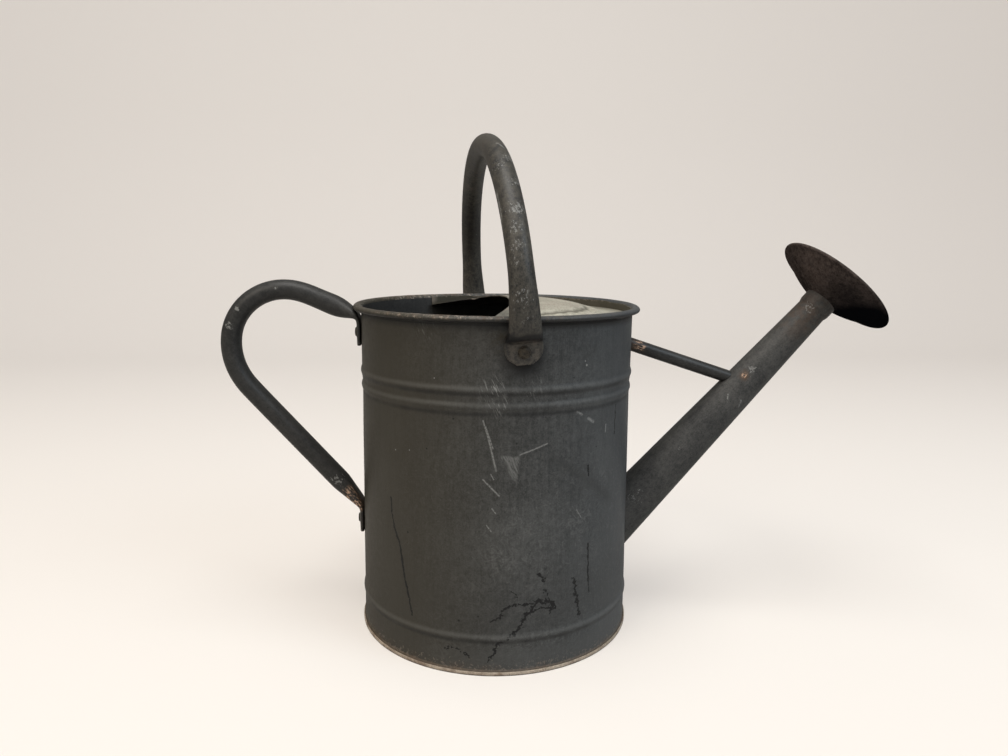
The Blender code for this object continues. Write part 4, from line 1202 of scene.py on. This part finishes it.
class CAN_OT_spout(bpy.types.Operator):
    """Roll the tapered spout and solder it to the wall"""
    bl_idname = "can.spout"
    bl_label = "Spout"

    def execute(self, context):
        sizes = context.scene.can_sizes
        colours = context.scene.can_colours
        rows = [-SPOUT_INSIDE + (SPOUT_LENGTH + SPOUT_INSIDE) * k / SPOUT_ROWS for k in range(SPOUT_ROWS + 1)]
        outline = [(spout_radius(s), s) for s in rows] + [(spout_radius(s) - SHEET, s) for s in reversed(rows)]
        spout = to_spout(turned("spout_tube", outline, TUBE_STEPS, closed=True))
        wall = wall_tool(CLEARANCE)
        cut_away(spout, wall)
        remove(wall)
        finish = piece_material(
            "Weathered spout", colours.spout_light, colours.spout_dark, colours,
            turn=(0.0, SPOUT_TILT, 0.0), stretch=6.0, patch=42.0, streaks=0.25, gloss=0.56, chips=0.2,
            shine=0.22,
            chip_spots=[
                ((0.105, -0.016, 0.088), 0.014, 0.5), ((0.1925, -0.0116, 0.1845), 0.0075, 0.7),
                ((0.14, -0.015, 0.125), 0.02, 0.25), ((0.2345, -0.0087, 0.231), 0.008, 0.75)],
            bright_spots=[((0.1863, -0.0105, 0.1802), 0.0034, 1.0)],
            rust_spots=[((0.186, -0.012, 0.18), 0.006, 0.8), ((0.23, -0.006, 0.228), 0.034, 0.3)],
            pale_lines=[(0.0011, [(0.1795, -0.0125, 0.1665), (0.1843, -0.0137, 0.161), (0.183, -0.014, 0.156)]),
                        (0.0008, [(0.1744, -0.0122, 0.166), (0.1736, -0.0135, 0.16)])])
        finish_piece(spout, [finish], CAN, "weathered_paint", "spout")

        grow = sizes.solder_size
        solder = spout_tool(grow, -0.005, 0.04)
        hollow = spout_tool(CLEARANCE / 3, -SPOUT_INSIDE, SPOUT_INSIDE * 2)
        outer = wall_tool(grow + CLEARANCE)
        inner = wall_tool(CLEARANCE / 3)
        cut_away(solder, outer, "INTERSECT")
        cut_away(solder, inner)
        cut_away(solder, hollow)
        for tool in (hollow, outer, inner):
            remove(tool)
        solder.name = "spout_solder"
        finish_piece(solder, [finish], CAN, "weathered_paint")
        return {"FINISHED"}


class CAN_OT_rose(bpy.types.Operator):
    """Turn the rose's bell and pierce its domed face"""
    bl_idname = "can.rose"
    bl_label = "Rose"

    def execute(self, context):
        sizes = context.scene.can_sizes
        colours = context.scene.can_colours
        rim = SPOUT_LENGTH + ROSE_DEPTH
        lap = SPOUT_LENGTH - ROSE_LAP
        sleeve = spout_radius(lap) + CLEARANCE + SHEET
        flange_back = rim - 2 * CLEARANCE - 2 * SHEET
        bell_edge = ROSE_RADIUS - ROSE_FLANGE
        line = [(sleeve - 0.0007, lap - 0.001), (sleeve, lap + 0.0015)]
        for k in range(BELL_ROWS + 1):
            share = k / BELL_ROWS
            angle = math.pi / 2 * share
            outward = share + (math.sin(angle) - share) * ROSE_BULGE
            forward = share + (1 - math.cos(angle) - share) * ROSE_BULGE
            line.append((
                sleeve + (bell_edge - sleeve) * outward,
                SPOUT_LENGTH + SHEET + (flange_back - SPOUT_LENGTH - SHEET) * forward))
        fold = (flange_back + rim + SHEET) / 2
        half = (rim + SHEET - flange_back) / 2
        for k in range(7):
            angle = math.radians(-90 + 30 * k)
            line.append((ROSE_RADIUS - half + half * math.cos(angle), fold + half * math.sin(angle)))
        line.append((ROSE_RADIUS - ROSE_LIP, rim + SHEET))
        bell = turned("rose_bell", line, WALL_STEPS)
        outer = max(bell.data.polygons, key=lambda p: p.center.xy.length)
        offset = -1.0 if outer.normal.xy.dot(outer.center.xy) > 0 else 1.0
        apply_modifier(bell, "SOLIDIFY", thickness=SHEET, offset=offset, use_even_offset=True)
        to_spout(bell)
        finish = piece_material(
            "Tarnished rose", colours.tarnish_light, colours.tarnish_dark, colours,
            patch=34.0, streaks=0.2, gloss=0.62, chips=0.2, chip_share=0.22, shine=0.0,
            # Painted shade on the rose, darkest on its right side.
            dark_spots=[((0.28, -0.015, 0.223), 0.056, 1.6), ((0.26, -0.025, 0.244), 0.032, 0.9)],
            rust_spots=[((0.245, -0.01, 0.265), 0.03, 0.12)])
        axis = Vector((math.sin(SPOUT_TILT), 0.0, math.cos(SPOUT_TILT)))
        foot = Vector((SPOUT_FOOT_OUT, 0.0, SPOUT_FOOT_HEIGHT))
        collar_end = SPOUT_LENGTH - 0.001
        finish_piece(
            bell, [finish, bpy.data.materials["Weathered spout"]], CAN, "dark_paint", "rose_back",
            second=lambda polygon: (polygon.center - foot).dot(axis) < collar_end)

        edge = ROSE_RADIUS - SHEET - CLEARANCE
        dome = ROSE_RADIUS - ROSE_LIP - CLEARANCE
        line = [(0.0, rim - CLEARANCE + FACE_DOME)]
        for k in range(1, FACE_ROWS + 1):
            r = dome * k / FACE_ROWS
            line.append((r, rim - CLEARANCE + FACE_DOME * (1 - (r / dome) ** 2)))
        line.append((edge, rim - CLEARANCE))
        line += [(r, z - SHEET) for r, z in reversed(line)]
        plate = turned("rose_plate", line, WALL_STEPS)
        drills = []
        burrs = []
        for ring in range(HOLE_RINGS + 1):
            for k in range(max(6 * ring, 1)):
                angle = 2 * math.pi * k / max(6 * ring, 1)
                x = ring * HOLE_PITCH * math.cos(angle)
                y = ring * HOLE_PITCH * math.sin(angle)
                z = rim - CLEARANCE + FACE_DOME * (1 - (x * x + y * y) / dome ** 2)
                deselect()
                bpy.ops.mesh.primitive_cylinder_add(
                    vertices=HOLE_STEPS, radius=sizes.hole_radius, depth=DRILL_LENGTH, location=(x, y, z))
                drills.append(bpy.context.object)
                bpy.ops.mesh.primitive_torus_add(
                    major_segments=HOLE_STEPS, minor_segments=5, major_radius=sizes.hole_radius * BURR_REACH,
                    minor_radius=sizes.hole_radius * BURR_SIZE, location=(x, y, z))
                burrs.append(bpy.context.object)
        drill = join(drills)
        cut_away(plate, drill)
        remove(drill)
        rings = join(burrs)
        settle(rings)
        rings.name = "rose_burrs"
        face = piece_material(
            "Pierced face", colours.tarnish_light, colours.tarnish_dark, colours,
            patch=40.0, streaks=0.2, gloss=0.45, chips=0.22, chip_share=0.4, shine=0.2,
            rust_spots=[((0.262, 0.0, 0.25), 0.06, 0.3)])
        finish_piece(to_spout(plate), [face], CAN, "dark_paint", "rose_face")
        finish_piece(to_spout(rings), [face], CAN, "dark_paint")
        return {"FINISHED"}


class CAN_OT_brace(bpy.types.Operator):
    """Cut the brace tube to the wall and the spout"""
    bl_idname = "can.brace"
    bl_label = "Brace"

    def execute(self, context):
        colours = context.scene.can_colours
        start = -2 * BRACE_RADIUS
        bore = BRACE_RADIUS - BRACE_WALL
        outline = [(BRACE_RADIUS, z) for z in (start, 0.0, BRACE_BLANK / 3, BRACE_BLANK)]
        outline += [(bore, BRACE_BLANK), (bore, start)]
        brace = turned("brace_tube", outline, RIVET_STEPS, closed=True)
        brace.location = (BRACE_FOOT_OUT, 0.0, RIM_TOP - BRACE_DROP)
        brace.rotation_euler = (0.0, math.pi / 2 + BRACE_SLOPE, 0.0)
        settle(brace)
        wall = wall_tool(CLEARANCE)
        spout = spout_tool(CLEARANCE)
        cut_away(brace, wall)
        cut_away(brace, spout)
        self.keep_near_wall(brace)
        for tool in (wall, spout):
            remove(tool)
        finish = piece_material(
            "Weathered brace", colours.handle_light, colours.handle_dark, colours,
            turn=(0.0, math.pi / 2 + BRACE_SLOPE, 0.0), stretch=7.0, streaks=0.4, gloss=0.4, chips=0.1,
            chip_scale=620.0, bright_spots=[((0.1071, -0.0045, 0.2025), 0.007, 0.9)],
            rust_spots=[((0.103, -0.004, 0.201), 0.01, 0.5)])
        finish_piece(brace, [finish], CAN, "weathered_paint", "spout_brace")
        return {"FINISHED"}

    def keep_near_wall(self, brace):
        """Drop what the cut leaves beyond the spout."""
        pick(brace)
        bpy.ops.object.mode_set(mode="EDIT")
        bpy.ops.mesh.select_all(action="DESELECT")
        object_mode()
        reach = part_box("spout_brace")[1].x + 0.001
        loose = {v.index for v in brace.data.vertices if v.co.x > reach}
        for vertex in brace.data.vertices:
            vertex.select = vertex.index in loose
        bpy.ops.object.mode_set(mode="EDIT")
        bpy.ops.mesh.select_linked()
        bpy.ops.mesh.delete(type="VERT")
        object_mode()


def smooth_copy(node_name, name, recover):
    """Merged and subdivided copy of a solid, with the shrinkage of smoothing made good."""
    source = frame["nodes"][node_name]
    deselect()
    source.select_set(True)
    bpy.context.view_layer.objects.active = source
    bpy.ops.object.duplicate()
    item = bpy.context.object
    item.name = name
    bpy.ops.object.parent_clear(type="CLEAR_KEEP_TRANSFORM")
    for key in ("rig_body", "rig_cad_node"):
        if key in item:
            del item[key]
    edit_all()
    bpy.ops.mesh.remove_doubles(threshold=MERGE)
    bpy.ops.mesh.tris_convert_to_quads()
    bpy.ops.transform.shrink_fatten(value=recover)
    object_mode()
    apply_modifier(item, "SUBSURF", levels=2, render_levels=2)
    return item


class CAN_OT_handles(bpy.types.Operator):
    """Smooth the two tube handles and wear their paint"""
    bl_idname = "can.handles"
    bl_label = "Handles"

    def execute(self, context):
        colours = context.scene.can_colours
        rear = smooth_copy("rear_handle", "rear_grip", 0.0003)
        finish = piece_material(
            "Weathered rear handle", colours.handle_light, colours.handle_dark, colours,
            turn=(0.0, -math.radians(42), 0.0), stretch=5.0, patch=28.0, streaks=0.4, gloss=0.45,
            chips=0.09, chip_scale=480.0, chip_stretch=1.6,
            chip_spots=[
                ((-0.1825, -0.008, 0.2292), 0.005, 0.95), ((-0.1885, -0.008, 0.2166), 0.008, 0.8),
                ((-0.154, -0.0082, 0.2439), 0.006, 0.6), ((-0.1165, -0.0083, 0.103), 0.012, 0.75)],
            bright_spots=[((-0.1085, -0.0096, 0.093), 0.009, 0.8), ((-0.102, -0.0105, 0.0862), 0.008, 1.0)],
            rust_spots=[((-0.101, 0.0, 0.085), 0.015, 1.0), ((-0.101, 0.0, 0.072), 0.016, 0.8)])
        finish_piece(rear, [finish], CAN, "weathered_paint", "rear_handle")

        carry = smooth_copy("carrying_handle", "carrying_grip", 0.0003)
        pivot = Vector((math.sin(PIVOT_TURN), -math.cos(PIVOT_TURN), 0.0)) * 0.101
        front_pivot = (pivot.x, pivot.y, PIVOT_HEIGHT)
        back_pivot = (-pivot.x, -pivot.y, PIVOT_HEIGHT)
        finish = piece_material(
            "Weathered carrying handle", colours.worn_handle, colours.handle_dark, colours,
            stretch=4.0, patch=26.0, streaks=0.3, gloss=0.46,
            chips=0.24, chip_scale=760.0, chip_stretch=1.8, chip_share=0.62,
            chip_spots=[
                ((0.0016, -0.1, 0.296), 0.012, 0.62), ((0.0008, -0.1055, 0.285), 0.011, 0.55),
                ((0.0015, -0.11, 0.275), 0.01, 0.48), ((0.0003, -0.1119, 0.266), 0.009, 0.4),
                ((0.004, -0.115, 0.2455), 0.012, 0.48), ((-0.001, -0.113, 0.253), 0.009, 0.35),
                ((0.008, -0.114, 0.2324), 0.009, 0.38), ((-0.0077, -0.0746, 0.323), 0.012, 0.45),
                ((0.0004, -0.0679, 0.3281), 0.01, 0.55), ((0.0028, -0.0858, 0.3122), 0.01, 0.5)],
            dark_spots=[((-0.014, 0.105, 0.295), 0.048, 0.85), ((-0.01, 0.08, 0.32), 0.03, 0.6)],
            # The first pale line paints a highlight along the front leg's left edge.
            pale_lines=[
                (0.0017, [(-0.0085, -0.085, 0.306), (-0.0071, -0.0949, 0.2941), (-0.0056, -0.0998, 0.2778),
                          (-0.0037, -0.1063, 0.2593), (-0.0032, -0.109, 0.245)]),
                (0.0012, [(-0.0058, -0.0528, 0.3388), (0.0004, -0.06, 0.3345)])],
            # Painted shadow in the bend above each tab, where the tube steps in to the wall.
            dark_lines=[
                (0.0086, [(-0.0035, -0.1072, 0.2188), (0.007, -0.1078, 0.2186), (0.0175, -0.1055, 0.219)]),
                (0.0086, [(-0.0175, 0.1055, 0.219), (-0.007, 0.1078, 0.2186), (0.0035, 0.1072, 0.2188)])],
            rings=[(front_pivot, 0.0078, 0.0058, 0.2), (back_pivot, 0.0078, 0.0058, 0.2)])
        finish_piece(carry, [finish], SWINGING, "weathered_paint", "carrying_handle")
        return {"FINISHED"}


class CAN_OT_rivets(bpy.types.Operator):
    """Set the four rivets"""
    bl_idname = "can.rivets"
    bl_label = "Rivets"

    def execute(self, context):
        colours = context.scene.can_colours
        finish = piece_material(
            "Worn rivet", colours.brown_light, colours.brown_dark, colours,
            patch=240.0, streaks=0.2, gloss=0.42, chips=0.3, chip_scale=900.0, metallic=0.3,
            dark_spots=[((0.008, -0.1055, PIVOT_HEIGHT - 0.0012), 0.003, 0.8)])
        front = PIVOT_TURN - math.pi / 2
        for name, node_name, azimuth, height in (
                ("pivot_rivet_front", "carrying_rivet_front", front, PIVOT_HEIGHT),
                ("pivot_rivet_back", "carrying_rivet_back", front + math.pi, PIVOT_HEIGHT),
                ("handle_rivet_lower", "rear_rivet_lower", math.pi, self.middle("rear_rivet_lower")),
                ("handle_rivet_upper", "rear_rivet_upper", math.pi, self.middle("rear_rivet_upper"))):
            self.set_rivet(name, node_name, azimuth, height, finish)
        return {"FINISHED"}

    def middle(self, node_name):
        low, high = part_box(node_name)
        return (low.z + high.z) / 2

    def set_rivet(self, name, node_name, azimuth, height, finish):
        """Shank with a pressed tail inside and a ringed head outside."""
        wall = plain_radius(height)
        seat = wall + 2 * CLEARANCE + TAB_THICKNESS
        inside = wall - SHEET - 2 * CLEARANCE
        millimetre = 0.001
        head = [
            (2.4, 0.0), (4.1, 0.0), (4.08, 0.2), (3.95, 0.36), (3.7, 0.42), (3.45, 0.42), (3.32, 0.55),
            (3.22, 0.85), (3.0, 1.12), (2.6, 1.3), (2.0, 1.4), (1.3, 1.37), (0.7, 1.3), (0.0, 1.26)]
        tail = [(0.0, -1.3), (1.2, -1.3), (1.95, -1.2), (2.6, -0.9), (3.35, -0.5), (3.5, 0.0), (2.4, 0.0)]
        outline = [(r * millimetre, inside + z * millimetre) for r, z in tail]
        outline += [(r * millimetre, seat + z * millimetre) for r, z in head]
        rivet = turned(name, outline, RIVET_STEPS)
        outwards(rivet, azimuth, height)
        finish_piece(rivet, [finish], CAN, "rivet_steel", node_name)


# Stage

CAMERA_PLACE = (-0.052, -0.5496, 0.27435)
CAMERA_TURN = math.radians(6.0)
CAMERA_PITCH = math.radians(9.94)
CAMERA_ROLL = math.radians(0.58)
SENSOR = 36.0
CAMERA_LENS = SENSOR * 754.0 / 1008.0
FLOOR_SPREAD = (60.0, 42.0, 1.0)
FLOOR_AHEAD = 19.0
BACKDROP_OUT = 1.9
BACKDROP_HEIGHT = 5.0
BACKDROP_BEND = 0.7
SEEN_LEVEL = 0.62
SURROUNDINGS = (1.0, 0.96, 0.92, 1.0)
LIGHT_AIM = (0.0, 0.0, 0.1)
LIGHTS = (
    ("warm_soft", (-1.1, -0.9, 1.3), 0.9, "warm_power", (1.0, 0.9, 0.76)),
    ("cool_soft", (1.3, -0.9, 1.3), 0.9, "cool_power", (0.74, 0.88, 1.0)),
    ("top_soft", (-0.1, -0.3, 1.7), 1.0, "top_power", (1.0, 0.98, 0.94)),
)


class CAN_OT_stage(bpy.types.Operator):
    """Lay the floor and backdrop, and set the lights and the camera"""
    bl_idname = "can.stage"
    bl_label = "Stage"

    def add_camera(self, scene):
        turn, pitch, roll = CAMERA_TURN, CAMERA_PITCH, CAMERA_ROLL
        ahead = Vector((math.cos(pitch) * math.sin(turn), math.cos(pitch) * math.cos(turn), -math.sin(pitch)))
        right = Vector((math.cos(turn), -math.sin(turn), 0.0))
        up = Vector((math.sin(pitch) * math.sin(turn), math.sin(pitch) * math.cos(turn), math.cos(pitch)))
        across = math.cos(roll) * right + math.sin(roll) * up
        above = math.cos(roll) * up - math.sin(roll) * right
        bpy.ops.object.camera_add(location=CAMERA_PLACE)
        camera = bpy.context.object
        camera.rotation_euler = Matrix((across, above, -ahead)).transposed().to_euler()
        camera.data.lens = CAMERA_LENS
        camera.data.sensor_width = SENSOR
        camera.data.clip_start = 0.01
        scene.camera = camera

    def add_light(self, name, place, size, power, colour):
        bpy.ops.object.light_add(type="AREA", location=place)
        light = bpy.context.object
        light.name = name
        light.data.size = size
        light.data.energy = power
        light.data.color = colour
        light.rotation_euler = (Vector(LIGHT_AIM) - Vector(place)).to_track_quat("-Z", "Y").to_euler()

    def add_floor(self, settings):
        deselect()
        bpy.ops.mesh.primitive_plane_add(size=1.0)
        floor = bpy.context.object
        floor.name = "floor"
        edit_all()
        bpy.ops.transform.resize(value=FLOOR_SPREAD)
        bpy.ops.transform.translate(value=(0.0, -FLOOR_AHEAD, FLOOR))
        object_mode()
        for edge in floor.data.edges:
            ends = [floor.data.vertices[i].co.y for i in edge.vertices]
            edge.select = min(ends) > BACKDROP_OUT
        for vertex in floor.data.vertices:
            vertex.select = vertex.co.y > BACKDROP_OUT
        for polygon in floor.data.polygons:
            polygon.select = False
        bpy.ops.object.mode_set(mode="EDIT")
        bpy.ops.mesh.extrude_region_move(TRANSFORM_OT_translate={"value": (0.0, 0.0, BACKDROP_HEIGHT)})
        object_mode()
        apply_modifier(floor, "BEVEL", width=BACKDROP_BEND, segments=12, limit_method="ANGLE", affect="EDGES")
        pick(floor)
        bpy.ops.object.shade_smooth()
        material, tree, shader = new_material("Pale floor")
        shader.inputs["Base Color"].default_value = rgba(settings.floor_colour)
        shader.inputs["Roughness"].default_value = 0.9
        shader.inputs["Specular IOR Level"].default_value = 0.1
        shader.inputs["Emission Color"].default_value = rgba(settings.backdrop_colour)
        path = node(tree, "ShaderNodeLightPath").outputs
        glow = times(tree, path["Is Camera Ray"], settings.backdrop_level)
        tree.links.new(glow, shader.inputs["Emission Strength"])
        floor.data.materials.append(material)

    def add_world(self, scene, settings):
        world = bpy.data.worlds.new("Pale surroundings")
        scene.world = world
        world.use_nodes = True
        tree = world.node_tree
        surroundings = tree.nodes["Background"]
        surroundings.inputs["Color"].default_value = SURROUNDINGS
        path = node(tree, "ShaderNodeLightPath").outputs
        seen = path["Is Camera Ray"]
        strength = maths(tree, "MULTIPLY_ADD", seen, SEEN_LEVEL - settings.world_level, settings.world_level)
        tree.links.new(strength, surroundings.inputs["Strength"])

    def execute(self, context):
        scene = context.scene
        settings = scene.can_stage
        scene.view_settings.view_transform = "Standard"
        deselect()
        self.add_floor(settings)
        deselect()
        for name, place, size, power, colour in LIGHTS:
            self.add_light(name, place, size, getattr(settings, power), colour)
        self.add_world(scene, settings)
        self.add_camera(scene)
        deselect()
        return {"FINISHED"}


class CAN_PT_panel(bpy.types.Panel):
    """Lists the pieces, sizes and colours"""
    bl_idname = "CAN_PT_panel"
    bl_label = "Watering can"
    bl_space_type = "VIEW_3D"
    bl_region_type = "UI"
    bl_category = "Watering can"

    def draw(self, context):
        layout = self.layout
        for operator in OPERATORS:
            layout.operator(operator.bl_idname, text=operator.bl_label)
        for group in (context.scene.can_sizes, context.scene.can_colours, context.scene.can_stage):
            for key in group.__annotations__:
                layout.prop(group, key)


OPERATORS = (
    CAN_OT_stage, CAN_OT_wall, CAN_OT_base, CAN_OT_cover, CAN_OT_spout,
    CAN_OT_rose, CAN_OT_brace, CAN_OT_handles, CAN_OT_rivets)
GROUPS = (CanSizes, CanColours, StageSettings)


def register():
    for item in GROUPS + OPERATORS + (CAN_PT_panel,):
        bpy.utils.register_class(item)
    bpy.types.Scene.can_sizes = bpy.props.PointerProperty(type=CanSizes)
    bpy.types.Scene.can_colours = bpy.props.PointerProperty(type=CanColours)
    bpy.types.Scene.can_stage = bpy.props.PointerProperty(type=StageSettings)


def unregister():
    del bpy.types.Scene.can_stage
    del bpy.types.Scene.can_colours
    del bpy.types.Scene.can_sizes
    for item in reversed(GROUPS + OPERATORS + (CAN_PT_panel,)):
        bpy.utils.unregister_class(item)


def main():
    register()
    make_groups()
    bpy.ops.can.stage()
    bpy.ops.can.wall()
    bpy.ops.can.base()
    bpy.ops.can.cover()
    bpy.ops.can.spout()
    bpy.ops.can.rose()
    bpy.ops.can.brace()
    bpy.ops.can.handles()
    bpy.ops.can.rivets()


if __name__ == "__main__":
    main()
